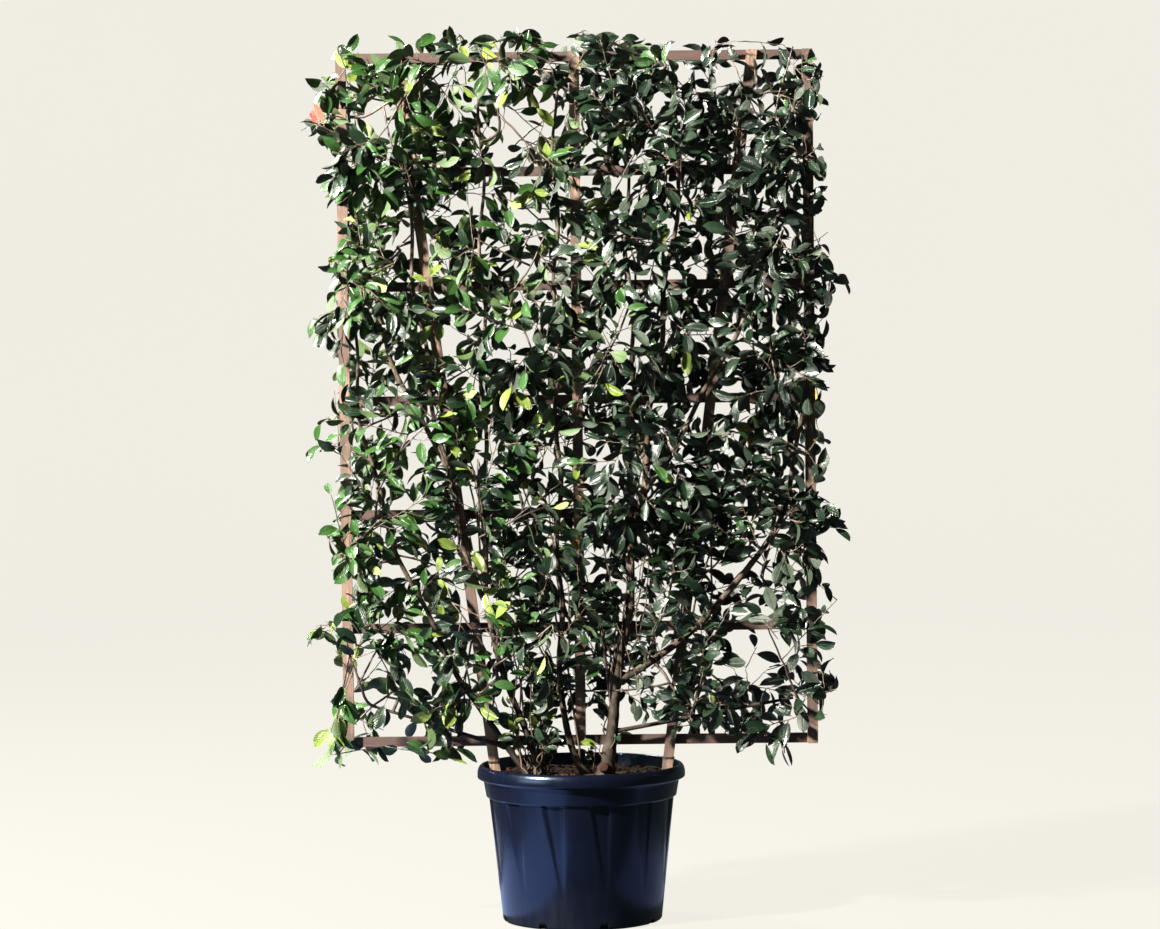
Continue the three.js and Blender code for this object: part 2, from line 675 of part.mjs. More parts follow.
// True where a leaf stays in its mass's space and its blade's middle lies off the open sky.
function leafFits(place, { corners }) {
  const { root, tip, left, right, middle } = corners;
  const { inner, outward } = place.layer;
  if (SKY.some((sky) => Math.hypot(middle.x - sky.x, middle.z - sky.z) < sky.radius)) return false;
  return outward * (root.y - inner) > 0 && [tip, left, right].every((p) => inSpace(place, p, 0));
}

// The point at a share of the way along a line of points.
function alongLine(points, share) {
  const place = Math.min(share * (points.length - 1), points.length - 1.001);
  const step = Math.floor(place);
  return points[step].clone().lerp(points[step + 1], place - step);
}

// Grows a mass: a stem from its limb into its layer, where it goes on as the first twig, and twigs
// that branch from that one. Of the leaves tried at each station, the one farthest from all others
// grows, where it crosses none of them.
function growMass(place, index) {
  const next = stream(CROWN_SEED * 31 + index * 977);
  const { outward } = place.layer;
  const seat = seatOf(place);
  if (!seat) throw new Error(`${place.name} has no limb in its space`);
  const way = heartOf(place, seat, next);
  if (!way) throw new Error(`${place.name} has no free way for its stem`);
  const stem = [seat.p, way.heart, way.fork];
  stems.push(stem);
  const growth = { seat, twigs: [], leaves: [] };
  const ends = [way.fork];
  let main = null;
  for (let k = 0; k < TWIGS; k++) {
    const start = k === 0 ? way.fork : alongLine(main, [0, 0.2, 0.62][k % 3]);
    const grown = twigFrom(place, start, ends, next);
    const points = grown ? [start, grown.bend, grown.end] : [way.heart, way.fork];
    if (k === 0) {
      main = points;
      const through = grown ? [...stem, grown.bend, grown.end] : stem;
      growth.twigs.push({ points: through, thick: MASS_STEM_RADIUS, thin: TWIG_TIP_RADIUS });
    } else if (grown) {
      growth.twigs.push({ points, thick: TWIG_RADIUS, thin: TWIG_TIP_RADIUS });
    }
    if (grown) ends.push(grown.end);
    const others = growth.twigs.filter((twig) => !twig.points.includes(points[1]));
    for (const station of STATIONS) {
      const root = alongLine(points, station);
      let chosen = null;
      for (let i = 0; i < LEAF_TRIES; i++) {
        const leaf = drawLeaf(root, outward, next);
        if (!leafFits(place, leaf)) continue;
        const { middle } = leaf.corners;
        const gaps = growth.leaves.map(({ corners }) => {
          return Math.hypot(middle.x - corners.middle.x, middle.z - corners.middle.z);
        });
        const room = Math.min(ROOM_ENOUGH, ...gaps) + SIZE_WORTH * leaf.size;
        if (chosen && room <= chosen.room) continue;
        if (others.some((twig) => crossesTwig(leaf, twig))) continue;
        if (!growth.leaves.some((other) => crosses(leaf, other))) chosen = { ...leaf, room };
      }
      if (chosen) growth.leaves.push(chosen);
    }
  }
  return growth;
}

// A three-sided twig through its points, tapering from the first to the last.
function twigSolid({ points, thick, thin }) {
  const steps = points.length - 1;
  const stick = new THREE.CylinderGeometry(1, 1, 1, 3, steps);
  stick.rotateX(Math.PI / 2);
  const frames = [];
  let side = new THREE.Vector3(0.31, 0.4, 0.86);
  for (let k = 0; k <= steps; k++) {
    const along = points[Math.min(k + 1, steps)].clone().sub(points[Math.max(k - 1, 0)]).normalize();
    side = side.clone().addScaledVector(along, -side.dot(along)).normalize();
    frames.push({ side, front: along.clone().cross(side) });
  }
  const at = stick.attributes.position;
  for (let i = 0; i < at.count; i++) {
    const k = Math.round((at.getZ(i) + 0.5) * steps);
    const radius = thick + ((thin - thick) * k) / steps;
    const p = points[k].clone().addScaledVector(frames[k].side, at.getX(i) * radius);
    p.addScaledVector(frames[k].front, at.getY(i) * radius);
    at.setXYZ(i, p.x, p.y, p.z);
  }
  return solidOf(stick);
}

// A leaf of eight faces: an octahedron drawn out to its corners.
function leafSolid(leaf) {
  const { root, tip, left, right, middle } = leaf.corners;
  const blade = new THREE.OctahedronGeometry(1, 0);
  const at = blade.attributes.position;
  for (let i = 0; i < at.count; i++) {
    const [x, y, z] = [Math.round(at.getX(i)), Math.round(at.getY(i)), Math.round(at.getZ(i))];
    const corner = x < 0 ? root : x > 0 ? tip : y > 0 ? left : y < 0 ? right : middle.clone();
    const p = corner.clone().addScaledVector(leaf.normal, (z * LEAF_THICKNESS) / 2);
    at.setXYZ(i, p.x, p.y, p.z);
  }
  return solidOf(blade);
}

// A mass as one solid: its stem, twigs and leaves fused, its foot cut clear of its limb.
function massSolid(growth) {
  const pieces = growth.twigs.map(twigSolid);
  pieces.push(...growth.leaves.map(leafSolid));
  const fused = wasm.Manifold.union(pieces).subtract(limbSolid(growth.seat.limb, SEAT + 0.1));
  const bodies = fused.decompose();
  bodies.sort((a, b) => b.volume() - a.volume());
  return bodies[0];
}

const group = new THREE.Group();
group.add(meshOf("pot", pot(), PLASTIC));
group.add(meshOf("soil", soil(), SOIL));

group.add(meshOf("post_left", upright(-POST_X, PANEL_BOTTOM, -POST_X, PANEL_TOP), LATH));
group.add(meshOf("post_middle", upright(0, PANEL_BOTTOM, 0, PANEL_TOP), LATH));
group.add(meshOf("post_right", upright(POST_X, PANEL_BOTTOM, POST_X, PANEL_TOP), LATH));
group.add(meshOf("leg_left", leg(-1), LATH));
group.add(meshOf("leg_right", leg(1), LATH));
for (let i = 0; i < RAILS; i++) group.add(meshOf(`rail_${i + 1}`, rail(i), LATH));

for (const limb of LIMBS) {
  let solid = limbSolid(limb);
  if (limb.foot) {
    solid = solid.subtract(ground());
  } else {
    const parent = LIMBS.find((other) => other.name === limb.from);
    solid = solid.subtract(limbSolid(parent, SEAT + 0.1));
    solid = solid.decompose().sort((a, b) => b.volume() - a.volume())[0];
  }
  group.add(meshOf(limb.name, solid, BARK));
}

PLACES.forEach((place, index) => {
  group.add(meshOf(place.name, massSolid(growMass(place, index)), FOLIAGE));
});

export default group;
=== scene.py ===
import json
import math
import random

import bmesh
import bpy
from mathutils import Matrix, Vector, geometry, noise

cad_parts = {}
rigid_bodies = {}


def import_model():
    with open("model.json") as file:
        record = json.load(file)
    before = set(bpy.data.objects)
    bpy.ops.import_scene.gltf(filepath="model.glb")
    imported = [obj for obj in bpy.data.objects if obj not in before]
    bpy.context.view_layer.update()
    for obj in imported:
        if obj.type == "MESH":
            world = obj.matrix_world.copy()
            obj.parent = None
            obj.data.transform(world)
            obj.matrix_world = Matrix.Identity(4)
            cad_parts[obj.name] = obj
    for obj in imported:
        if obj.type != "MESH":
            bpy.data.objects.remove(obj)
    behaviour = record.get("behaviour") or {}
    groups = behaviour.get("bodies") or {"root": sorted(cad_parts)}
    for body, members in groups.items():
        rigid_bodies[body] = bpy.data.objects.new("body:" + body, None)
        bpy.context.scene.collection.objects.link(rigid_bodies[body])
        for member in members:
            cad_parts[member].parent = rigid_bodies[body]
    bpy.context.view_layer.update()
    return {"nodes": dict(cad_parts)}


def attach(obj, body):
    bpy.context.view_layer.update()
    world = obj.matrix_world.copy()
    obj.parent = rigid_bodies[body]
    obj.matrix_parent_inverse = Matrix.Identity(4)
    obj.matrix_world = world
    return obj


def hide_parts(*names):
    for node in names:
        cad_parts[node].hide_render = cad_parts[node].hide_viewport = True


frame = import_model()

# Studio
# A pale paper sweep, curved up all round like a wide bowl, with a small bright lamp high on the
# left, softer ones round it and dim panels on the floor that the pot's gloss mirrors. The camera
# stands nine metres off with a long lens, a little out of level.

CAMERA_DISTANCE = 9.0
CAMERA_HEIGHT = 1.45
CAMERA_SIDE = 0.005
CAMERA_PITCH = math.radians(1.89)
CAMERA_ROLL = math.radians(-0.6)
FOCAL_PIXELS = 3562
IMAGE_WIDTH = 1160
SENSOR = 36
CLIP_END = 100
ROOM_LIGHT = 0.1
ROOM_COLOUR = (0.82, 0.95, 0.88, 1)
SWEEP_COLOUR = (0.86, 0.837, 0.765, 1)
SWEEP_SHADE = (0.013, 0.0125, 0.0115, 1)
SWEEP_PALER = 1.01
SWEEP_GLOW = 0.985
SWEEP_SIZE = 35
SWEEP_FLAT = 10.5
SWEEP_BEND = 2.2
SWEEP_SEGMENTS = 60

camera_data = bpy.data.cameras.new("camera")
camera_data.sensor_width = SENSOR
camera_data.lens = FOCAL_PIXELS / IMAGE_WIDTH * SENSOR
camera_data.clip_end = CLIP_END
camera = bpy.data.objects.new("camera", camera_data)
camera.matrix_world = (
    Matrix.Translation((CAMERA_SIDE, -CAMERA_DISTANCE, CAMERA_HEIGHT))
    @ Matrix.Rotation(math.pi / 2 - CAMERA_PITCH, 4, "X")
    @ Matrix.Rotation(CAMERA_ROLL, 4, "Z")
)
bpy.context.collection.objects.link(camera)
bpy.context.scene.camera = camera


def lamp(name, place, aim, size, watts, colour):
    data = bpy.data.lights.new(name, "AREA")
    data.shape = "RECTANGLE"
    data.size, data.size_y = size
    data.energy = watts
    data.color = colour
    made = bpy.data.objects.new(name, data)
    made.location = place
    made.rotation_euler = (Vector(aim) - Vector(place)).to_track_quat("-Z", "Y").to_euler()
    made.visible_camera = False
    bpy.context.collection.objects.link(made)


lamp("key", (-5.2, -3.8, 5.0), (0, 0, 1.2), (0.45, 0.45), 4200, (1, 0.955, 0.87))
lamp("fill", (-4.2, -3.0, 0.9), (0, 0, 0.3), (2.6, 1.4), 70, (0.76, 0.9, 0.86))
lamp("rim", (-3.6, 3.0, 4.6), (0, 0, 1.4), (1.0, 1.0), 700, (1, 0.98, 0.88))
lamp("card_left", (-0.53, -0.25, 0.012), (-0.53, -0.25, 1), (0.64, 1.2), 3.6, (0.42, 0.56, 1))
lamp("card_right", (0.58, 0.0, 0.012), (0.58, 0.0, 1), (0.6, 0.8), 0.7, (0.5, 0.58, 1))
lamp("card_back", (-0.1, 0.95, 0.015), (-0.1, 0.95, 1), (1.6, 0.9), 2.5, (0.7, 0.75, 1))

world = bpy.data.worlds.new("world")
bpy.context.scene.world = world
world.use_nodes = True
room = world.node_tree.nodes["Background"]
room.inputs["Color"].default_value = ROOM_COLOUR
room.inputs["Strength"].default_value = ROOM_LIGHT
bpy.context.scene.view_settings.view_transform = "Standard"


class Value:
    """A number or colour that changes over a surface. Sums on it add maths nodes."""

    def __init__(self, finish, socket):
        self.finish = finish
        self.socket = socket

    def sum(self, operation, *parts):
        return self.finish.node("Math", {"operation": operation}, dict(enumerate(parts)))

    def __add__(self, other):
        return self.sum("ADD", self, other)

    def __sub__(self, other):
        return self.sum("SUBTRACT", self, other)

    def __rsub__(self, other):
        return self.sum("SUBTRACT", other, self)

    def __mul__(self, other):
        return self.sum("MULTIPLY", self, other)

    def __mod__(self, other):
        return self.sum("FLOORED_MODULO", self, other)

    def __gt__(self, other):
        return self.sum("GREATER_THAN", self, other)

    def __abs__(self):
        return self.sum("ABSOLUTE", self)

    __radd__ = __add__
    __rmul__ = __mul__


class Finish:
    """A material: node() adds any node, and cover() says what changes over the surface."""

    def __init__(self, name, **fixed):
        self.material = bpy.data.materials.new(name)
        self.material.use_nodes = True
        self.tree = self.material.node_tree
        self.shader = self.tree.nodes["Principled BSDF"]
        for key, value in fixed.items():
            self.shader.inputs[key.replace("_", " ")].default_value = value

    def feed(self, socket, value):
        if isinstance(value, Value):
            self.tree.links.new(value.socket, socket)
        else:
            socket.default_value = value

    def node(self, kind, settings=None, sockets=None, output=0):
        made = self.tree.nodes.new("ShaderNode" + kind)
        for key, value in (settings or {}).items():
            if key == "stops":
                ramp = made.color_ramp
                while len(ramp.elements) < len(value):
                    ramp.elements.new(1)
                for stop, (place, colour) in zip(ramp.elements, value):
                    stop.position = place
                    stop.color = colour
            else:
                setattr(made, key, value)
        for key, value in (sockets or {}).items():
            self.feed(made.inputs[key], value)
        return Value(self, made.outputs[output])

    def place(self):
        return self.node("TexCoord", output="Object")

    def grain(self, scale, detail=4, stretch=(1, 1, 1), roughness=0.55):
        spot = self.node("Mapping", {}, {"Vector": self.place(), "Scale": stretch})
        sockets = {"Vector": spot, "Scale": scale, "Detail": detail, "Roughness": roughness}
        return self.node("TexNoise", {}, sockets)

    def steps(self, value, *stops):
        shades = [(place, (shade, shade, shade, 1)) for place, shade in stops]
        return self.node("ValToRGB", {"stops": shades}, {"Fac": value})

    def mix(self, share, first, second):
        return self.node("Mix", {"data_type": "RGBA"}, {0: share, 6: first, 7: second}, 2)

    def bump(self, height, distance, strength=1.0):
        return self.node("Bump", {}, {"Height": height, "Distance": distance, "Strength": strength})

    def cover(self, **sockets):
        for key, value in sockets.items():
            self.feed(self.shader.inputs[key.replace("_", " ")], value)
        return self.material


sweep_finish = Finish("sweep_paper", Roughness=0.95, Specular_IOR_Level=0.1, Emission_Strength=SWEEP_GLOW)
sweep_shade = sweep_finish.grain(0.6, 2)
paler = tuple(min(1, c * SWEEP_PALER) for c in SWEEP_COLOUR)
sweep_material = sweep_finish.cover(
    Base_Color=SWEEP_SHADE,
    Emission_Color=sweep_finish.mix(sweep_shade, SWEEP_COLOUR, paler),
)


def settle(name, mesh_maker, material, smooth=True):
    """A bmesh as a linked object with one material."""
    mesh = bpy.data.meshes.new(name)
    mesh_maker.to_mesh(mesh)
    mesh_maker.free()
    mesh.materials.append(material)
    for polygon in mesh.polygons:
        polygon.use_smooth = smooth
    made = bpy.data.objects.new(name, mesh)
    bpy.context.collection.objects.link(made)
    return made


sheet = bmesh.new()
bmesh.ops.create_grid(sheet, x_segments=SWEEP_SEGMENTS, y_segments=SWEEP_SEGMENTS, size=SWEEP_SIZE / 2)
for vertex in sheet.verts:
    beyond = vertex.co.xy.length - SWEEP_FLAT
    if beyond > 0:
        turn = min(beyond / SWEEP_BEND, math.pi / 2)
        wall = max(0, beyond - SWEEP_BEND * math.pi / 2)
        vertex.co.xy = vertex.co.xy.normalized() * (SWEEP_FLAT + SWEEP_BEND * math.sin(turn))
        vertex.co.z = SWEEP_BEND * (1 - math.cos(turn)) + wall
sweep = settle("studio_sweep", sheet, sweep_material)
sweep.visible_diffuse = False
sweep.visible_glossy = False


# Pot
# A dark blue-black nursery container, blow moulded in satin plastic: a rolled lip over a plain
# collar, twelve wedge-shaped flutes that stiffen the wall, and drain slots through its foot.

POT_HEIGHT = 395
POT_FOOT_RADIUS = 201
POT_RIM_RADIUS = 263
POT_WALL = 4
FLOOR_THICKNESS = 6
FOOT_CHAMFER = 8
LIP_HEIGHT = 34
LIP_OVERHANG = 15
LIP_ROUND = 12
LIP_SLOPE = 22
COLLAR_TOP = POT_HEIGHT - LIP_HEIGHT
COLLAR_HEIGHT = 46
COLLAR_FOOT = COLLAR_TOP - COLLAR_HEIGHT
COLLAR_TOP_RADIUS = POT_RIM_RADIUS - LIP_OVERHANG
COLLAR_FOOT_RADIUS = 241
COLLAR_STEP = 7
BODY_TOP_RADIUS = COLLAR_FOOT_RADIUS - COLLAR_STEP
SMALL_ROUND = 3
LIP_FOOT_ROUND = 4
WALL_STEP = 12
WALL_WAVER = 0.5
FLUTES = 12
FLUTE_TURN = 12
FLUTE_DEPTH = 6
FLUTE_FOOT = 70
FLUTE_RIGHT_EDGE = 6.5
FLUTE_LEFT_EDGE = -7
FLUTE_FOOT_EDGE = 3.5
FLUTE_LEFT_SLOPE = 1.7
FLUTE_RIGHT_SLOPE = 1.4
DRAINS = 8
DRAIN_TURN = -29.5
DRAIN_SIZE = (22, 26, 24)
DRAIN_ROUND = 4
POT_STEPS = 360
MM = 0.001


def body_radius(z):
    return POT_FOOT_RADIUS + (BODY_TOP_RADIUS - POT_FOOT_RADIUS) * z / COLLAR_FOOT


def ease(low, high, value):
    share = min(1, max(0, (value - low) / (high - low)))
    return share * share * (3 - 2 * share)


def flute_depth(turn, z):
    """How far the wall stands in, at a turn in degrees from the front and a height."""
    share = (z - FLUTE_FOOT) / (COLLAR_FOOT - FLUTE_FOOT)
    if not 0 < share <= 1:
        return 0
    pitch = 360 / FLUTES
    offset = (turn - FLUTE_TURN + pitch / 2) % pitch - pitch / 2
    left = FLUTE_FOOT_EDGE + (FLUTE_LEFT_EDGE - FLUTE_FOOT_EDGE) * share
    inside = ease(left, left + FLUTE_LEFT_SLOPE, offset)
    inside *= 1 - ease(FLUTE_RIGHT_EDGE - FLUTE_RIGHT_SLOPE, FLUTE_RIGHT_EDGE, offset)
    return FLUTE_DEPTH * share * inside


def arc(centre, radius, first, last, count):
    """Points round part of a circle, with angles in degrees."""
    turns = [math.radians(first + (last - first) * i / count) for i in range(count + 1)]
    return [(centre[0] + radius * math.cos(t), centre[1] + radius * math.sin(t)) for t in turns]


outline = [(0, 0), (POT_FOOT_RADIUS - FOOT_CHAMFER, 0)]
outline += arc((body_radius(FOOT_CHAMFER) - FOOT_CHAMFER, FOOT_CHAMFER), FOOT_CHAMFER, -60, 0, 4)
outline += [(body_radius(z), z) for z in range(20, COLLAR_FOOT - 4, WALL_STEP)]
outline += [(body_radius(z), z) for z in (COLLAR_FOOT - SMALL_ROUND, COLLAR_FOOT)]
outline += arc((COLLAR_FOOT_RADIUS - SMALL_ROUND, COLLAR_FOOT + SMALL_ROUND), SMALL_ROUND, -80, 0, 4)
collar_rise = COLLAR_HEIGHT - 2 * LIP_FOOT_ROUND
outline += [
    (COLLAR_FOOT_RADIUS + (COLLAR_TOP_RADIUS - COLLAR_FOOT_RADIUS) * i / 4,
     COLLAR_FOOT + LIP_FOOT_ROUND + collar_rise * i / 4)
    for i in range(1, 5)
]
outline += [(COLLAR_TOP_RADIUS + 1, COLLAR_TOP - 1)]
lip_foot = (POT_RIM_RADIUS - LIP_FOOT_ROUND, COLLAR_TOP + LIP_FOOT_ROUND + 0.5)
outline += arc(lip_foot, LIP_FOOT_ROUND, -90, 0, 4)
outline += [
    (POT_RIM_RADIUS - LIP_ROUND * (1 - x), POT_HEIGHT - LIP_SLOPE * (1 - z))
    for x, z in arc((0, 0), 1, 0, 90, 12)
]
outline += arc((COLLAR_TOP_RADIUS + SMALL_ROUND, POT_HEIGHT - SMALL_ROUND), SMALL_ROUND, 90, 180, 3)
outline += [(COLLAR_TOP_RADIUS - POT_WALL, COLLAR_TOP - 4)]
outline += [(body_radius(z) - POT_WALL, z) for z in (COLLAR_FOOT, FLUTE_FOOT, FLOOR_THICKNESS)]
outline += [(0, FLOOR_THICKNESS)]

shell = bmesh.new()
ring = [shell.verts.new((0, -radius * MM, z * MM)) for radius, z in outline]
edges = [shell.edges.new(pair) for pair in zip(ring, ring[1:])]
bmesh.ops.spin(shell, geom=ring + edges, cent=(0, 0, 0), axis=(0, 0, 1), steps=POT_STEPS,
               angle=2 * math.pi, use_merge=True)
bmesh.ops.remove_doubles(shell, verts=shell.verts, dist=1e-6)
bmesh.ops.recalc_face_normals(shell, faces=shell.faces)
for vertex in shell.verts:
    radius = vertex.co.xy.length / MM
    if radius < POT_FOOT_RADIUS / 2:
        continue
    turn = math.degrees(math.atan2(vertex.co.x, -vertex.co.y))
    angle = math.radians(turn)
    spot = Vector((math.sin(angle) * 3, math.cos(angle) * 3, vertex.co.z * 8))
    drawn = radius - flute_depth(turn, vertex.co.z / MM) + WALL_WAVER * noise.noise(spot)
    vertex.co.x *= drawn / radius
    vertex.co.y *= drawn / radius

drains = bmesh.new()
for i in range(DRAINS):
    turned = Matrix.Rotation(math.radians(DRAIN_TURN + i * 360 / DRAINS), 4, "Z")
    spot = turned @ Matrix.Translation((0, -POT_FOOT_RADIUS * MM, 0))
    made = bmesh.ops.create_cube(drains, size=MM)["verts"]
    bmesh.ops.scale(drains, vec=DRAIN_SIZE, verts=made)
    top_sides = []
    for edge in drains.edges:
        a, b = (v.co for v in edge.verts)
        if edge.verts[0] in made and a.z > 0 and abs(a.z - b.z) < 1e-9 and abs(a.x - b.x) < 1e-9:
            top_sides.append(edge)
    rounded = bmesh.ops.bevel(drains, geom=top_sides, offset=DRAIN_ROUND * MM, segments=4, profile=0.5,
                              affect="EDGES", material=-1)["verts"]
    whole = {v for start in rounded for f in start.link_faces for v in f.verts}
    whole |= {v for v in made if v.is_valid}
    bmesh.ops.transform(drains, matrix=spot, verts=list(whole))

pot_finish = Finish("pot_plastic", Specular_IOR_Level=0.6, Specular_Tint=(0.5, 0.66, 1, 1))
mottle = pot_finish.grain(9, 5)
streak = pot_finish.grain(60, 3, (1, 1, 0.06))
speck = pot_finish.grain(420, 2)
height_up = pot_finish.node("SeparateXYZ", {}, {"Vector": pot_finish.place()}, 2)
# Dust grows towards the foot and pales the lower body: partly splash dust and partly painted light, with
# the top left darker as painted shade.
dust_and_painted_light = pot_finish.steps(height_up * 3 + mottle * 0.8, (0.3, 1), (0.75, 0.1))
navy = pot_finish.mix(mottle, (0.0009, 0.0013, 0.0042, 1), (0.002, 0.003, 0.0095, 1))
dusty_and_lit = pot_finish.mix(dust_and_painted_light * streak * 0.035, navy, (0.2, 0.19, 0.18, 1))
pot_material = pot_finish.cover(
    Base_Color=dusty_and_lit,
    Roughness=0.14 + streak * 0.12 + dust_and_painted_light * 0.14,
    Normal=pot_finish.bump(speck * 0.4 + streak, 0.0006, 0.5),
)
drain_cutter = settle("drain_cutter", drains, pot_material)
pot = settle("nursery_pot", shell, pot_material)
cut = pot.modifiers.new("drains", "BOOLEAN")
cut.operation = "DIFFERENCE"
cut.solver = "EXACT"
cut.object = drain_cutter


def apply_modifiers(made):
    """Puts a piece's modifiers into its mesh."""
    shape = made.evaluated_get(bpy.context.evaluated_depsgraph_get())
    mesh = bpy.data.meshes.new_from_object(shape)
    old = made.data
    made.modifiers.clear()
    made.data = mesh
    bpy.data.meshes.remove(old)


apply_modifiers(pot)
bpy.data.objects.remove(drain_cutter)
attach(pot, "root")
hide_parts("pot")


# Soil
# Dark brown potting soil, filled to a little under the rim, uneven and heaped towards the stems.
# Chips of red-brown bark lie on it, and a thin film of moss greens its right side.

SOIL_TOP = POT_HEIGHT - 27
SOIL_RADIUS = 243
SOIL_RINGS = [(221, COLLAR_FOOT), (194, FLOOR_THICKNESS + 0.4)]
HEAP_HEIGHT = 6
HEAP_MIDDLE = (-20, -30)
HEAP_REACH = 130
ROUGH_HEIGHT = 6
ROUGH_SIZE = 60
CHIPS = 900
CHIP_LENGTH = (3, 17, 6)
CHIP_WIDTH = (0.35, 0.7)
CHIP_HEIGHT = (0.15, 0.4)
CHIP_UNEVEN = (-0.3, 0.2)
CHIP_TURN = 6.28
CHIP_TILT = 0.5
CHIP_LIFT = 0.06
CHIP_EDGE = 10
soil_random = random.Random(17)


def soil_height(x, y):
    """The height of the soil's top, in millimetres, at a place in millimetres."""
    rough = noise.fractal(Vector((x / ROUGH_SIZE, y / ROUGH_SIZE, 3.1)), 0.7, 2.0, 5)
    aside = (x - HEAP_MIDDLE[0]) ** 2 + (y - HEAP_MIDDLE[1]) ** 2
    heap = HEAP_HEIGHT * math.exp(-aside / HEAP_REACH ** 2)
    return SOIL_TOP - 3 + heap + ROUGH_HEIGHT * rough


ground = bmesh.new()
bmesh.ops.create_circle(ground, cap_ends=True, cap_tris=True, segments=96, radius=SOIL_RADIUS * MM)
bmesh.ops.subdivide_edges(ground, edges=ground.edges, cuts=3, use_grid_fill=True)
bmesh.ops.subdivide_edges(ground, edges=ground.edges, cuts=2, use_grid_fill=True)
bmesh.ops.translate(ground, vec=(0, 0, SOIL_TOP * MM), verts=ground.verts)
for radius, z in SOIL_RINGS:
    rim = [e for e in ground.edges if e.is_boundary]
    wall = bmesh.ops.extrude_edge_only(ground, edges=rim)["geom"]
    for vertex in (v for v in wall if isinstance(v, bmesh.types.BMVert)):
        vertex.co.xy *= radius * MM / vertex.co.xy.length
        vertex.co.z = z * MM
bmesh.ops.holes_fill(ground, edges=[e for e in ground.edges if e.is_boundary], sides=0)
bmesh.ops.recalc_face_normals(ground, faces=ground.faces)
for vertex in ground.verts:
    if vertex.co.z > (COLLAR_FOOT + 1) * MM:
        vertex.co.z = soil_height(vertex.co.x / MM, vertex.co.y / MM) * MM

soil_finish = Finish("potting_soil", Roughness=0.95, Specular_IOR_Level=0.15)
crumb = soil_finish.grain(150, 8, roughness=0.7)
patch = soil_finish.grain(14, 4)
side = soil_finish.node("SeparateXYZ", {}, {"Vector": soil_finish.place()}, 0)
moss = soil_finish.steps(patch + side * 1.6, (0.6, 0), (0.78, 1))
earth = soil_finish.mix(crumb, (0.006, 0.0035, 0.0025, 1), (0.035, 0.017, 0.01, 1))
soil_material = soil_finish.cover(
    Base_Color=soil_finish.mix(moss * 0.7, earth, (0.018, 0.03, 0.009, 1)),
    Normal=soil_finish.bump(crumb, 0.004),
)
soil = settle("potting_soil", ground, soil_material)
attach(soil, "root")
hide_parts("soil")

chips = bmesh.new()
for i in range(CHIPS):
    reach = (SOIL_RADIUS - CHIP_EDGE) * math.sqrt(soil_random.random())
    turn = soil_random.uniform(0, 2 * math.pi)
    x, y = reach * math.cos(turn), reach * math.sin(turn)
    length = soil_random.triangular(*CHIP_LENGTH)
    made = bmesh.ops.create_cube(chips, size=1)["verts"]
    for vertex in made:
        vertex.co *= 1 + soil_random.uniform(*CHIP_UNEVEN)
    wide, high = soil_random.uniform(*CHIP_WIDTH), soil_random.uniform(*CHIP_HEIGHT)
    bmesh.ops.scale(chips, vec=(length * MM, length * wide * MM, length * high * MM), verts=made)
    tilt = Matrix.Rotation(soil_random.uniform(0, CHIP_TURN), 4, "Z")
    tilt @= Matrix.Rotation(soil_random.uniform(-CHIP_TILT, CHIP_TILT), 4, "X")
    spot = Matrix.Translation((x * MM, y * MM, (soil_height(x, y) + length * CHIP_LIFT) * MM))
    bmesh.ops.transform(chips, matrix=spot @ tilt, verts=made)
chip_finish = Finish("bark_chips", Roughness=0.9, Specular_IOR_Level=0.15)
fibre = chip_finish.grain(300, 6)
tone = chip_finish.grain(46, 1)
chip_colour = chip_finish.mix(tone, (0.012, 0.0045, 0.003, 1), (0.085, 0.028, 0.014, 1))
chip_material = chip_finish.cover(
    Base_Color=chip_finish.mix(fibre * 0.5, chip_colour, (0.008, 0.004, 0.003, 1)),
    Normal=chip_finish.bump(fibre, 0.001),
)
bark_chips = settle("bark_chips", chips, chip_material, smooth=False)
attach(bark_chips, "root")


# Trellis
# Rough-sawn hardwood laths, 26 by 18 mm and the rails 24 by 18, nailed to each other through every
# crossing. Three posts and two slanting legs stand before seven rails, and the legs run down into
# the soil.

PANEL_WIDTH = 1200
PANEL_TOP = 2194
PANEL_BOTTOM = 442
RAILS = 7
LATH_WIDTH = 26
LATH_DEPTH = 18
RAIL_HEIGHT = 24
POST_X = (PANEL_WIDTH - LATH_WIDTH) / 2
LEG_TOP_X = 448
LEG_SOIL_X = 216
LATHS = [
    ("post_left", -POST_X, PANEL_BOTTOM, -POST_X), ("leg_left", -LEG_SOIL_X, SOIL_TOP, -LEG_TOP_X),
    ("post_middle", 0, PANEL_BOTTOM, 0), ("leg_right", LEG_SOIL_X, SOIL_TOP, LEG_TOP_X),
    ("post_right", POST_X, PANEL_BOTTOM, POST_X),
]
INNER_LATHS = ("leg_left", "post_middle")


def rail_height(i):
    low = PANEL_BOTTOM + RAIL_HEIGHT / 2
    return low + (PANEL_TOP - PANEL_BOTTOM - RAIL_HEIGHT) * i / (RAILS - 1)


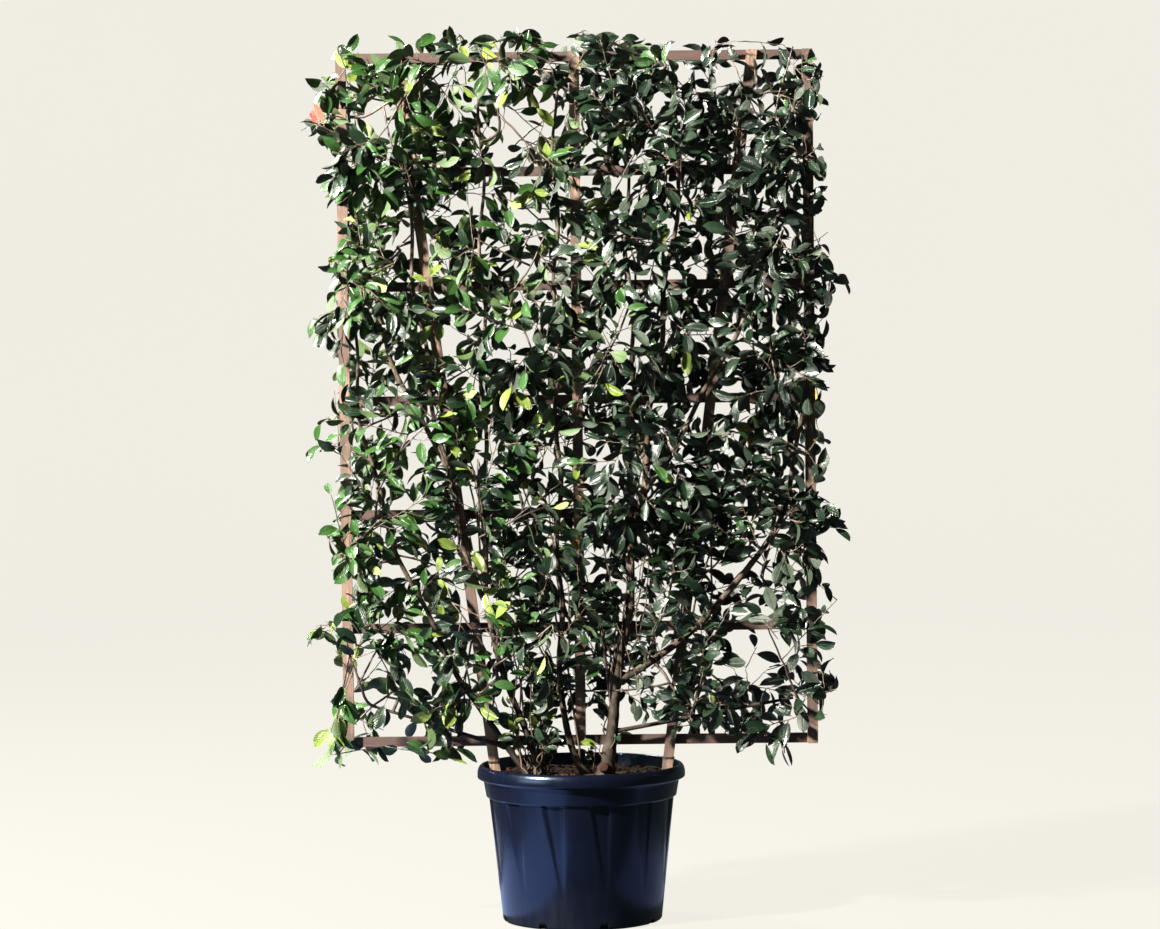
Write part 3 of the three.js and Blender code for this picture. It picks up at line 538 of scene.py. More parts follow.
def lath_finish(name, pale, deep, along):
    finish = Finish(name)
    stretch = {"x": (0.05, 1, 1), "z": (1, 1, 0.05)}[along]
    figure = finish.grain(170, 6, stretch, 0.65)
    saw = finish.grain(900, 2, {"x": (1, 0.1, 0.1), "z": (0.1, 0.1, 1)}[along])
    # Large dark patches: partly weathering and partly painted shade, the dappled shadow of the leaves
    # falling on the laths.
    weather_and_shade_grain = finish.grain(5, 3)
    knots = finish.steps(finish.grain(11, 1), (0.7, 0), (0.76, 1))
    wood = finish.mix(finish.steps(figure, (0.3, 0), (0.7, 1)), deep, pale)
    worn_and_shaded = finish.mix(finish.steps(weather_and_shade_grain, (0.4, 0), (0.56, 0.85)), wood, (0.05, 0.03, 0.024, 1))
    dark = finish.mix(knots * 0.5, worn_and_shaded, (0.05, 0.02, 0.012, 1))
    return finish.cover(
        Base_Color=dark,
        Roughness=0.62 + figure * 0.3,
        Normal=finish.bump(figure * 0.7 + saw * 0.4, 0.0012, 0.8),
    )


post_wood = lath_finish("post_wood", (0.3, 0.19, 0.135, 1), (0.075, 0.042, 0.03, 1), "z")
# The rails take a darker, redder copy of the wood: painted shade, the shadow of the leaves over them.
shaded_rail_wood = lath_finish("shaded_rail_wood", (0.09, 0.042, 0.03, 1), (0.022, 0.011, 0.01, 1), "x")
# The left leg and middle post take a paler copy of the wood: partly fresher wood and partly painted light
# where the lamp catches them.
lit_inner_wood = lath_finish("lit_inner_lath_wood", (0.42, 0.27, 0.18, 1), (0.1, 0.054, 0.036, 1), "z")
for name, *line in LATHS:
    frame["nodes"][name].material_slots[0].material = lit_inner_wood if name in INNER_LATHS else post_wood
for i in range(RAILS):
    frame["nodes"][f"rail_{i + 1}"].material_slots[0].material = shaded_rail_wood

NAIL_RADIUS = 3.4
NAIL_HEIGHT = 1.2
NAIL_TAPER = 0.8
NAIL_LIFT = 5
NAIL_ASIDE = 0.8
NAIL_PROUD = 0.5
nails = bmesh.new()
nail_turn = Matrix.Rotation(math.pi / 2, 4, "X")
for name, x_low, z_low, x_high in LATHS:
    for i in range(RAILS):
        z = rail_height(i)
        x = x_low + (x_high - x_low) * (z - z_low) / (PANEL_TOP - z_low)
        for lift in (-NAIL_LIFT, NAIL_LIFT) if i % 2 else (0,):
            made = bmesh.ops.create_cone(
                nails, cap_ends=True, segments=12, radius1=NAIL_RADIUS * MM,
                radius2=NAIL_RADIUS * NAIL_TAPER * MM, depth=NAIL_HEIGHT * MM,
            )["verts"]
            head = ((x + lift * NAIL_ASIDE) * MM, -(LATH_DEPTH + NAIL_PROUD) * MM, (z + lift) * MM)
            bmesh.ops.transform(nails, matrix=Matrix.Translation(head) @ nail_turn, verts=made)
nail_finish = Finish("nail_steel", Metallic=0.85)
rust = nail_finish.grain(500, 4)
nail_material = nail_finish.cover(
    Base_Color=nail_finish.mix(rust, (0.3, 0.29, 0.28, 1), (0.16, 0.07, 0.035, 1)),
    Roughness=0.4 + rust * 0.4,
)
lath_nails = settle("lath_nails", nails, nail_material, smooth=False)
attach(lath_nails, "root")


# Stems and boughs
# Grey-brown bark over round young wood, more grooved near the soil and darker there, partly as
# older bark and partly as painted shade under the crown. Four stems rise from flared feet, trained
# flat in one plane before the trellis. Boughs leave them at forks, and both swell a little at each
# old leaf scar and taper.

SEAT = 0.35
LIMB_PLANE_Y = -34
TAPER = 0.8
FLARE = 0.55
FLARE_HEIGHT = 30
WANDER = 7
WANDER_LENGTH = 330
WANDER_START = 4
SCAR_SPACING = 46
SCAR_REACH = 4.5
SCAR_SWELL = 0.1
SCAR_SHIFT = 17
UNEVEN = 0.05
UNEVEN_LENGTH = 26
RIDGES = 0.11
RIDGE_LENGTH = 34
RIDGES_ROUND = 2.2
OLD_RADIUS = 9
FORK_SWELL = (0.8, 1.35, 1.15)
FOOT_SWELL = 1.1
FOOT_SUNK = 9
LIMB_SIDES = 14
LIMB_STEP = 9
LIMBS = [
    dict(name="stem_left_low", foot=(-134, -28), end=(-560, 1500), turn=2, radius=(7.5, 4)),
    dict(name="stem_left", foot=(-98, -34), end=(-430, 2090), turn=2, radius=(8, 4)),
    dict(name="stem_middle", foot=(14, -28), end=(-50, 2120), turn=22, radius=(9, 3.5)),
    dict(name="stem_right", foot=(62, -34), end=(290, 2110), turn=1.05, radius=(18, 4), taper=0.5),
    dict(name="bough_left_bottom", parent="stem_left_low", at=440,
         end=(-525, 548), turn=1, radius=(6, 3.5)),
    dict(name="bough_left_high", parent="stem_left", at=1150, end=(-560, 2075), turn=2.5, radius=(7, 3.5)),
    dict(name="bough_left_inner", parent="stem_left", at=800, end=(-235, 2075), turn=1.3, radius=(7, 3.5)),
    dict(name="bough_right_bottom", parent="stem_right", at=478, end=(530, 560), turn=1, radius=(6, 3.5)),
    dict(name="bough_right_mid", parent="stem_right", at=600, end=(570, 1480), turn=3.1, radius=(10, 4)),
    dict(name="bough_right_high", parent="stem_right", at=1080, end=(556, 2090), turn=1.8, radius=(7, 3.5)),
    dict(name="bough_right_inner", parent="stem_right", at=1130,
         end=(128, 2075), turn=3, radius=(6.5, 3.5)),
]


def limb_point(limb, share):
    """A limb's middle line: share 0 is its start and 1 its end."""
    x0, y0, z0 = limb["start"]
    x1, z1 = limb["end"]
    z = z0 + (z1 - z0) * share
    lean = 1 - (1 - share) ** limb["turn"]
    begun = min(1, share * WANDER_START)
    wander = WANDER * math.sin((z - z0) / (WANDER_LENGTH / (2 * math.pi))) * begun
    depth = y0 + (LIMB_PLANE_Y - y0) * begun
    return Vector((x0 + (x1 - x0) * lean + wander, depth, z))


def limb_radius(limb, share):
    thick, thin = limb["radius"]
    height = (limb["end"][1] - limb["start"][2]) * share
    flare = FLARE * math.exp(-height / FLARE_HEIGHT) if "foot" in limb else 0
    return thick * (1 + flare) + (thin - thick) * share ** limb.get("taper", TAPER)


for limb in LIMBS:
    if "foot" in limb:
        limb["start"] = (*limb["foot"], SOIL_TOP + SEAT)
    else:
        parent = next(other for other in LIMBS if other["name"] == limb["parent"])
        share = (limb["at"] - parent["start"][2]) / (parent["end"][1] - parent["start"][2])
        limb["start"] = tuple(limb_point(parent, share))


def tube(target, points, radii, sides):
    """Adds a round shoot through points, in millimetres, with a radius at each, closed at its ends."""
    steps = len(points) - 1
    made = bmesh.ops.create_grid(target, x_segments=sides, y_segments=steps, size=0.5)["verts"]
    frames = []
    side = Vector((0.31, 0.4, 0.86))
    for k in range(steps + 1):
        along = (points[min(k + 1, steps)] - points[max(k - 1, 0)]).normalized()
        side = (side - along * side.dot(along)).normalized()
        frames.append((side, along.cross(side)))
    for vertex in made:
        k = round((vertex.co.y + 0.5) * steps)
        turn = (vertex.co.x + 0.5) * 2 * math.pi
        one, two = frames[k]
        radius = radii[k](turn) if callable(radii[k]) else radii[k]
        vertex.co = (points[k] + (one * math.cos(turn) + two * math.sin(turn)) * radius) * MM
    bmesh.ops.remove_doubles(target, verts=made, dist=1e-7)
    alive = [v for v in made if v.is_valid]
    ends = {e for v in alive for e in v.link_edges if e.is_boundary}
    bmesh.ops.holes_fill(target, edges=list(ends), sides=0)


def bark_radius(limb, number, share, point):
    """The radius as a function of the turn round the limb, with bark relief and leaf scars."""
    plain = limb_radius(limb, share)
    from_scar = (point.z + SCAR_SHIFT * number) % SCAR_SPACING - SCAR_SPACING / 2
    scar = math.exp(-(from_scar / SCAR_REACH) ** 2)
    uneven = noise.noise(Vector((number * 9.7, 0, point.z / UNEVEN_LENGTH)))
    swell = 1 + SCAR_SWELL * scar + UNEVEN * uneven
    old = min(1, plain / OLD_RADIUS)

    def radius(turn):
        up = point.z / RIDGE_LENGTH + number * 5
        spot = Vector((math.cos(turn) * RIDGES_ROUND, math.sin(turn) * RIDGES_ROUND, up))
        ridge = noise.fractal(spot, 0.6, 2.1, 4)
        return plain * swell * (1 + RIDGES * old * ridge)

    return radius


bark_finish = Finish("stem_bark", Specular_IOR_Level=0.2)
stretch = bark_finish.grain(120, 6, (1, 1, 0.22), 0.7)
lichen = bark_finish.grain(26, 4)
rings = bark_finish.grain(90, 2, (0.2, 0.2, 1))
bark_up = bark_finish.node("SeparateXYZ", {}, {"Vector": bark_finish.place()}, 2)
# Darker towards the foot: partly older bark and partly painted shade under the crown.
old_and_shaded_foot = bark_finish.steps(bark_up, (0.5, 1), (0.9, 0))
wood_shade = bark_finish.mix(old_and_shaded_foot, (0.095, 0.068, 0.047, 1), (0.024, 0.017, 0.012, 1))
grooves = bark_finish.steps(stretch, (0.35, 1), (0.6, 0)) * 0.85
grooved = bark_finish.mix(grooves, wood_shade, (0.018, 0.012, 0.009, 1))
lichen_share = bark_finish.steps(lichen, (0.52, 0), (0.68, 0.5)) * (1 - old_and_shaded_foot * 0.65)
greyed = bark_finish.mix(lichen_share, grooved, (0.21, 0.183, 0.14, 1))
bark_material = bark_finish.cover(
    Base_Color=greyed,
    Roughness=0.6 + stretch * 0.3,
    Normal=bark_finish.bump(stretch + rings * 0.3, 0.0022),
)
for number, limb in enumerate(LIMBS):
    length = math.hypot(limb["end"][1] - limb["start"][2], limb["end"][0] - limb["start"][0])
    steps = round(length / LIMB_STEP)
    shares = [i / steps for i in range(steps + 1)]
    points = [limb_point(limb, share) for share in shares]
    radii = [bark_radius(limb, number, share, point) for share, point in zip(shares, points)]
    if "foot" in limb:
        points.insert(0, points[0] - Vector((0, 0, FOOT_SUNK)))
        radii.insert(0, limb_radius(limb, 0) * FOOT_SWELL)
    else:
        radii[:3] = [limb_radius(limb, 0) * swell for swell in FORK_SWELL]
    growth = bmesh.new()
    tube(growth, points, radii, LIMB_SIDES)
    bmesh.ops.recalc_face_normals(growth, faces=growth.faces)
    made = settle(limb["name"] + "_bark", growth, bark_material)
    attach(made, "root")
    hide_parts(limb["name"])

STUB_RADIUS = 12
STUB_FOOT = Vector((60, -44, SOIL_TOP + 19))
STUB_TIP = Vector((56, -76, SOIL_TOP + 27))
STUB_SHAPE = [(0, 1.25), (0.4, 1.12), (0.8, 1.04), (0.96, 0.98), (1, 0.86)]
STUB_SIDES = 18
STUB_RINGS = 330
stub = bmesh.new()
stub_way = STUB_TIP - STUB_FOOT
stub_points = [STUB_FOOT + stub_way * share for share, wide in STUB_SHAPE]
tube(stub, stub_points, [STUB_RADIUS * wide for share, wide in STUB_SHAPE], STUB_SIDES)
bmesh.ops.recalc_face_normals(stub, faces=stub.faces)
stub_finish = Finish("cut_wood", Roughness=0.8, Specular_IOR_Level=0.15)
stub_turn = stub_way.to_track_quat("Z", "Y").to_matrix().inverted().to_euler()
centred = stub_finish.node("Mapping", {"vector_type": "POINT"}, {
    "Vector": stub_finish.place(), "Rotation": stub_turn,
    "Location": tuple(-(stub_turn.to_matrix() @ STUB_FOOT) * MM),
})
flat = stub_finish.node("Mapping", {}, {"Vector": centred, "Scale": (1, 1, 0)})
from_heart = stub_finish.node("VectorMath", {"operation": "LENGTH"}, {0: flat}, "Value")
year_rings = stub_finish.steps(
    abs((from_heart * STUB_RINGS + stub_finish.grain(60, 2) * 0.5) % 1 - 0.5), (0.0, 0), (0.4, 1))
bark_edge = stub_finish.steps(from_heart * (1000 / STUB_RADIUS), (0.8, 0), (0.9, 1))
heartwood = stub_finish.mix(year_rings, (0.012, 0.004, 0.003, 1), (0.05, 0.02, 0.013, 1))
stub_material = stub_finish.cover(
    Base_Color=stub_finish.mix(bark_edge, heartwood, (0.03, 0.018, 0.013, 1)),
    Normal=stub_finish.bump(year_rings + stub_finish.grain(400, 4), 0.001),
)
cut_stub = settle("saw_cut_stub", stub, stub_material)
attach(cut_stub, "root")


# Ties
# Narrow dark bands of soft plastic hold the limbs to the rails. Each is one loop round a limb and
# the rail behind it, pulled snug, and a second kind binds the legs just over the soil.

TIE_WIDTH = 4.5
TIE_THICKNESS = 0.9
TIE_SEGMENTS = 28
TIE_CORNER = 0.35
TIE_SLACK = 0.4
TIE_MISSING = 0.25
TIE_RANGE = (0.06, 0.97)
TIE_ROOM = (1.6, 2.2)
TIE_REACH = 1.15
LEG_TIES = (SOIL_TOP + 34, SOIL_TOP + 41)
tie_random = random.Random(55)
ties = bmesh.new()


def tie(middle, half_depth, half_across, upright):
    """Adds a band round a box, in millimetres: upright stands across a rail, else round a post."""
    loop = bmesh.ops.create_circle(ties, cap_ends=False, segments=TIE_SEGMENTS, radius=1)["verts"]
    for vertex in loop:
        turn = math.atan2(vertex.co.y, vertex.co.x)
        waves = (math.cos(turn), math.sin(turn))
        depth, across = (math.copysign(abs(wave) ** TIE_CORNER, wave) for wave in waves)
        slack = tie_random.uniform(-TIE_SLACK, TIE_SLACK)
        spot = (-TIE_WIDTH / 2, half_depth * depth + slack, half_across * across + slack)
        vertex.co = spot if upright else (spot[2], spot[1], spot[0])
    around = [e for e in ties.edges if e.verts[0] in loop and e.verts[1] in loop]
    band = bmesh.ops.extrude_edge_only(ties, edges=around)["geom"]
    rim = [v for v in band if isinstance(v, bmesh.types.BMVert)]
    step = (TIE_WIDTH, 0, 0) if upright else (0, 0, TIE_WIDTH)
    bmesh.ops.translate(ties, vec=step, verts=rim)
    faces = [f for f in band if isinstance(f, bmesh.types.BMFace)]
    bmesh.ops.recalc_face_normals(ties, faces=faces)
    shell = bmesh.ops.solidify(ties, geom=faces, thickness=TIE_THICKNESS)["geom"]
    whole = {v for v in shell if isinstance(v, bmesh.types.BMVert)} | set(loop) | set(rim)
    spot = Matrix.Translation(Vector(middle) * MM) @ Matrix.Scale(MM, 4)
    bmesh.ops.transform(ties, matrix=spot, verts=list(whole))


for limb in LIMBS:
    for i in range(RAILS):
        z = rail_height(i)
        share = (z - limb["start"][2]) / (limb["end"][1] - limb["start"][2])
        if not TIE_RANGE[0] < share < TIE_RANGE[1] or tie_random.random() < TIE_MISSING:
            continue
        x = limb_point(limb, share).x
        posts = [x0 + (x1 - x0) * (z - z0) / (PANEL_TOP - z0) for name, x0, z0, x1 in LATHS]
        if min(abs(x - post) for post in posts) < LATH_WIDTH / 2 + TIE_WIDTH + 2:
            continue
        reach = -LIMB_PLANE_Y + limb_radius(limb, share) * TIE_REACH
        half_depth = (reach + LATH_DEPTH) / 2 + TIE_THICKNESS
        tie((x, half_depth - reach - TIE_THICKNESS, z), half_depth, RAIL_HEIGHT / 2 + TIE_ROOM[0], True)
for hand, z in zip((-1, 1), LEG_TIES):
    x = hand * (LEG_SOIL_X + (LEG_TOP_X - LEG_SOIL_X) * (z - SOIL_TOP) / (PANEL_TOP - SOIL_TOP))
    tie((x, -LATH_DEPTH / 2, z), LATH_DEPTH / 2 + TIE_ROOM[0], LATH_WIDTH / 2 + TIE_ROOM[1], False)
tie_finish = Finish("tie_band", Roughness=0.45)
tie_wear = tie_finish.grain(160, 3)
tie_material = tie_finish.cover(
    Base_Color=tie_finish.mix(tie_wear, (0.006, 0.006, 0.007, 1), (0.03, 0.028, 0.026, 1)),
    Normal=tie_finish.bump(tie_wear, 0.0005),
)
tie_piece = settle("ties", ties, tie_material, smooth=False)
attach(tie_piece, "root")


# Growth of the masses
# How the crown grew: a jittered grid of spaces in two layers, a stem into each from the nearest
# limb, and twigs through it. Each long blade of the plain model is here the line of one shoot.

CROWN_HALF_WIDTH = 672
CROWN_TOP = 2250
CROWN_BOTTOM = 384
CROWN_OVER_POT = 500
CROWN_WAVE = 14
CROWN_SEED = 2235
JITTER = 0.1
SPACE_GAP = 1.2
LAYERS = [
    dict(name="front", columns=4, rows=4, outward=-1, inner=-54, outer=-172,
         heart=-62, reach=(8, 46), fork=-86),
    dict(name="back", columns=3, rows=5, outward=1, inner=24, outer=150,
         heart=-34, reach=(42, 100), fork=60),
]
SKY = [
    (-190, 1925, 70), (-436, 1720, 52), (-440, 1180, 50), (-436, 930, 46), (452, 700, 66), (-470, 540, 55),
]
MASS_STEM_RADIUS = 8
TWIGS = 3
TWIG_TRIES = 24
TWIG_LENGTH = (140, 260)
TWIG_BEND = 34
TWIG_MARGIN = 26
TWIG_INSET = 24
TWIG_STARTS = (0, 0.2, 0.62)
SEAT_STEPS = 200
SEAT_MARGIN = 14
SEATS_APART = 44
HEART_TRIES = 60
HEART_LEAN = 60
STATIONS = (0.4, 0.62, 0.82, 1)
SHOOT_LENGTH = 200
SHOOT_WIDTH = 128
SHOOT_SIZES = (0.75, 1.15)
SHOOT_WIDEST = 0.48
SHOOT_CUP = 9
SHOOT_DROOP = 16
SHOOT_SUNK = 3
SHOOT_TRIES = 100
SHOOT_TILT = 0.6
SHOOT_HANG = 0.12
SHOOT_FACE = (0.8, 0.7)
SHOOT_GAP = 4
ROOM_ENOUGH = 160
SIZE_WORTH = 60
CLEARANCE = 2
LENGTHS_IN_LIMB = 24
LIMB_NEAR = 60


def stream(seed):
    """Numbers from 0 to 1 that a seed fixes."""
    state = [seed]

    def following():
        state[0] = (state[0] * 1664525 + 1013904223) % 4294967296
        return state[0] / 4294967296

    return following


lath_lines = [(x0, z0, x1, PANEL_TOP, LATH_WIDTH / 2, -LATH_DEPTH, 0) for name, x0, z0, x1 in LATHS]
for i in range(RAILS):
    z = rail_height(i)
    lath_lines.append((-PANEL_WIDTH / 2, z, PANEL_WIDTH / 2, z, RAIL_HEIGHT / 2, 0, LATH_DEPTH))


def clear_of_laths(a, b, radius):
    """True where a round twig from a to b keeps clear of every lath."""
    room = radius + CLEARANCE
    for x0, z0, x1, z1, half, back, front in lath_lines:
        ux, uz = x1 - x0, z1 - z0
        length = math.hypot(ux, uz)
        low = (-room, -half - room, back - room)
        high = (length + room, half + room, front + room)
        ends = []
        for p in (a, b):
            dx, dz = p.x - x0, p.z - z0
            ends.append(((dx * ux + dz * uz) / length, (dx * uz - dz * ux) / length, p.y))
        enter, leave = 0, 1
        for k in range(3):
            step = ends[1][k] - ends[0][k]
            if abs(step) < 1e-9:
                if ends[0][k] < low[k] or ends[0][k] > high[k]:
                    leave = -1
                    break
                continue
            s, t = (low[k] - ends[0][k]) / step, (high[k] - ends[0][k]) / step
            enter, leave = max(enter, min(s, t)), min(leave, max(s, t))
            if enter > leave:
                break
        if enter <= leave:
            return False
    return True


def line_gap(p, q, r, s):
    """The least distance between the lines p to q and r to s."""
    u, v, w = q - p, s - r, p - r
    a, b, c, d, e = u.dot(u), u.dot(v), v.dot(v), u.dot(w), v.dot(w)
    f = a * c - b * b
    i = min(1, max(0, (b * e - c * d) / f)) if f > 1e-9 else 0
    j = min(1, max(0, (b * i + e) / c))
    i = min(1, max(0, (b * j - d) / a))
    return (w + u * i - v * j).length


limb_lines = []
for limb in LIMBS:
    for i in range(LENGTHS_IN_LIMB):
        low, high = i / LENGTHS_IN_LIMB, (i + 1) / LENGTHS_IN_LIMB
        limb_lines.append((limb_point(limb, low), limb_point(limb, high), limb_radius(limb, low)))


def clear_of_limbs(a, b, twig_radius):
    """True where a round twig from a to b keeps clear of the limbs."""
    low, high = min(a.z, b.z) - LIMB_NEAR, max(a.z, b.z) + LIMB_NEAR
    return all(
        end.z < low or start.z > high or line_gap(a, b, start, end) > radius + twig_radius + CLEARANCE
        for start, end, radius in limb_lines
    )


def mass_places():
    """The middles of the masses' spaces, row by row from the bottom, in front and then behind."""
    following = stream(CROWN_SEED)
    places = []
    for layer in LAYERS:
        width = 2 * CROWN_HALF_WIDTH / layer["columns"]
        height = (CROWN_TOP - CROWN_BOTTOM) / layer["rows"]
        for row in range(layer["rows"]):
            for column in range(layer["columns"]):
                x = -CROWN_HALF_WIDTH + (column + 0.5 + (following() * 2 - 1) * JITTER) * width
                z = CROWN_BOTTOM + (row + 0.5 + (following() * 2 - 1) * JITTER) * height
                name = f"foliage_{layer['name']}_{row + 1}_{column + 1}"
                places.append(dict(name=name, layer=layer, x=x, z=z))
    return places


PLACES = mass_places()
for place in PLACES:
    place["borders"] = []
    for other in PLACES:
        if other is not place and other["layer"] is place["layer"]:
            apart = math.hypot(other["x"] - place["x"], other["z"] - place["z"])
            place["borders"].append((other["x"], other["z"], apart))


def in_outline(p, margin):
    """True where a point lies in the crown's wavy outline, seen from the front."""
    wave = CROWN_WAVE * (math.sin(p.z / 61) + math.sin(p.z / 23 + 2))
    swell = CROWN_WAVE / 2 * (math.sin(p.x / 67 + 1) + math.sin(p.x / 29))
    bottom = CROWN_OVER_POT if abs(p.x) < POT_RIM_RADIUS - 30 else CROWN_BOTTOM + CROWN_WAVE
    if abs(p.x) > CROWN_HALF_WIDTH + wave - margin or p.z > CROWN_TOP - CROWN_WAVE + swell - margin:
        return False
    return p.z >= bottom + swell + margin


def over_space(place, p, margin):
    """True where a point lies over a mass's own ground, nearer its middle than any other."""
    if not in_outline(p, margin):
        return False
    own = (p.x - place["x"]) ** 2 + (p.z - place["z"]) ** 2
    return all(
        ((p.x - x) ** 2 + (p.z - z) ** 2 - own) / (2 * apart) >= margin + SPACE_GAP
        for x, z, apart in place["borders"]
    )


def in_space(place, p, margin):
    layer = place["layer"]
    if layer["outward"] * (p.y - layer["inner"]) < 0 or layer["outward"] * (layer["outer"] - p.y) < margin:
        return False
    return over_space(place, p, margin)


mass_stems = []


def seat_of(place):
    """The point of any limb nearest the middle of a mass's space, off the stems that have grown."""
    best = None
    for limb in LIMBS:
        for i in range(2, SEAT_STEPS):
            p = limb_point(limb, i / SEAT_STEPS)
            gap = math.hypot(p.x - place["x"], p.z - place["z"])
            if (best and gap >= best[0]) or not over_space(place, p, SEAT_MARGIN):
                continue
            if all((stem[0] - p).length > SEATS_APART for stem in mass_stems):
                best = (gap, p)
    return best[1]


def clear_of_stems(a, b):
    return all(
        line_gap(a, b, stem[k], stem[k + 1]) > 2 * MASS_STEM_RADIUS + CLEARANCE
        for stem in mass_stems for k in range(len(stem) - 1)
    )


def heart_of(place, seat, following):
    """Where a mass's stem turns out of the limbs' plane, and where it enters its layer."""
    layer = place["layer"]
    best = None
    for i in range(HEART_TRIES):
        turn = following() * 2 * math.pi
        reach = layer["reach"][0] + (layer["reach"][1] - layer["reach"][0]) * following()
        lean, rise = (following() - 0.5) * HEART_LEAN, (following() - 0.5) * HEART_LEAN
        heart = Vector((seat.x + reach * math.cos(turn), layer["heart"], seat.z + reach * math.sin(turn)))
        fork = Vector((heart.x + lean, layer["fork"], heart.z + rise))
        gap = math.hypot(fork.x - place["x"], fork.z - place["z"])
        if best and gap >= best[0]:
            continue
        if not over_space(place, heart, TWIG_INSET) or not in_space(place, fork, TWIG_INSET):
            continue
        ways = ((seat.lerp(heart, 0.65), heart, MASS_STEM_RADIUS), (heart, fork, MASS_STEM_RADIUS))
        if not all(clear_of_laths(*way) and clear_of_limbs(*way) for way in ways):
            continue
        if clear_of_stems(seat, heart) and clear_of_stems(heart, fork):
            best = (gap, heart, fork)
    return best[1:]


def twig_from(place, start, ends, following):
    """A twig that bends once: of the ends tried, the one farthest from every other end grows."""
    layer = place["layer"]
    inner = layer["inner"] + layer["outward"] * TWIG_INSET
    depth_range = layer["outer"] - layer["inner"] - 2 * layer["outward"] * TWIG_INSET
    best = None
    for i in range(TWIG_TRIES):
        turn = following() * 2 * math.pi
        reach = TWIG_LENGTH[0] + (TWIG_LENGTH[1] - TWIG_LENGTH[0]) * following()
        depth = inner + depth_range * following()
        end = Vector((start.x + reach * math.cos(turn), depth, start.z + reach * math.sin(turn)))
        bend = start.lerp(end, 0.5)
        bend.x += (following() - 0.5) * TWIG_BEND
        bend.z += (following() - 0.5) * TWIG_BEND
        room = min(math.hypot(end.x - q.x, end.z - q.z) for q in ends)
        if in_space(place, end, TWIG_MARGIN) and (not best or room > best[0]):
            best = (room, bend, end)
    return best


def along_line(points, share):
    place = min(share * (len(points) - 1), len(points) - 1.001)
    step = math.floor(place)
    return points[step].lerp(points[step + 1], place - step)


def draw_shoot(root, outward, following):
    """One draw of a shoot, with the corners of the blade that stands for it in the plain model."""
    fan = following() * 2 * math.pi
    tilt = (following() - 0.5) * SHOOT_TILT
    flat = math.cos(tilt)
    rise = math.sin(fan) * flat - SHOOT_HANG
    along = Vector((math.cos(fan) * flat, outward * math.sin(tilt), rise)).normalized()
    face_x = (following() - 0.5) * SHOOT_FACE[0]
    face_z = (following() - 0.25) * SHOOT_FACE[1]
    side = Vector((face_x, outward, face_z)).cross(along).normalized()
    size = SHOOT_SIZES[0] + (SHOOT_SIZES[1] - SHOOT_SIZES[0]) * following()
    normal = along.cross(side)
    length, half = SHOOT_LENGTH * size, SHOOT_WIDTH / 2 * size

    def at(x, y, z):
        return root + along * x + side * y + normal * z

    return dict(
        root=root, along=along, side=side, normal=normal, size=size, foot=at(-SHOOT_SUNK, 0, 0),
        tip=at(length, 0, -SHOOT_DROOP), left=at(length * SHOOT_WIDEST, half, SHOOT_CUP),
        right=at(length * SHOOT_WIDEST, -half, SHOOT_CUP), middle=at(length * SHOOT_WIDEST, 0, 0),
    )


def blade_parts(shoot, offset):
    lift = shoot["normal"] * offset
    foot, tip, left, right = (shoot[key] + lift for key in ("foot", "tip", "left", "right"))
    halves = ((foot, left, tip), (foot, right, tip))
    return halves, ((foot, left), (left, tip), (tip, right), (right, foot), (foot, tip))


def pierces(a, b, half):
    """True where the line from a to b passes through a triangle."""
    hit = geometry.intersect_ray_tri(*half, b - a, a, True)
    return hit is not None and (hit - a).dot(b - a) >= 0 and (hit - a).length <= (b - a).length


def crosses(one, other):
    """True where two shoots' blades cross, or pass closer than the gap that they keep."""
    if (one["middle"] - other["middle"]).length > SHOOT_LENGTH + SHOOT_SUNK:
        return False
    halves, edges = other["parts"]
    for offset in (-SHOOT_GAP, SHOOT_GAP):
        moved_halves, moved_edges = blade_parts(one, offset)
        if any(pierces(a, b, half) for a, b in moved_edges for half in halves):
            return True
        if any(pierces(a, b, half) for a, b in edges for half in moved_halves):
            return True
    return False


def crosses_twig(shoot, points):
    halves = blade_parts(shoot, 0)[0]
    return any(pierces(points[k], points[k + 1], half) for k in range(len(points) - 1) for half in halves)


def shoot_fits(place, shoot):
    middle = shoot["middle"]
    if any(math.hypot(middle.x - x, middle.z - z) < radius for x, z, radius in SKY):
        return False
    layer = place["layer"]
    if layer["outward"] * (shoot["foot"].y - layer["inner"]) <= 0:
        return False
    return all(in_space(place, shoot[key], 0) for key in ("tip", "left", "right"))


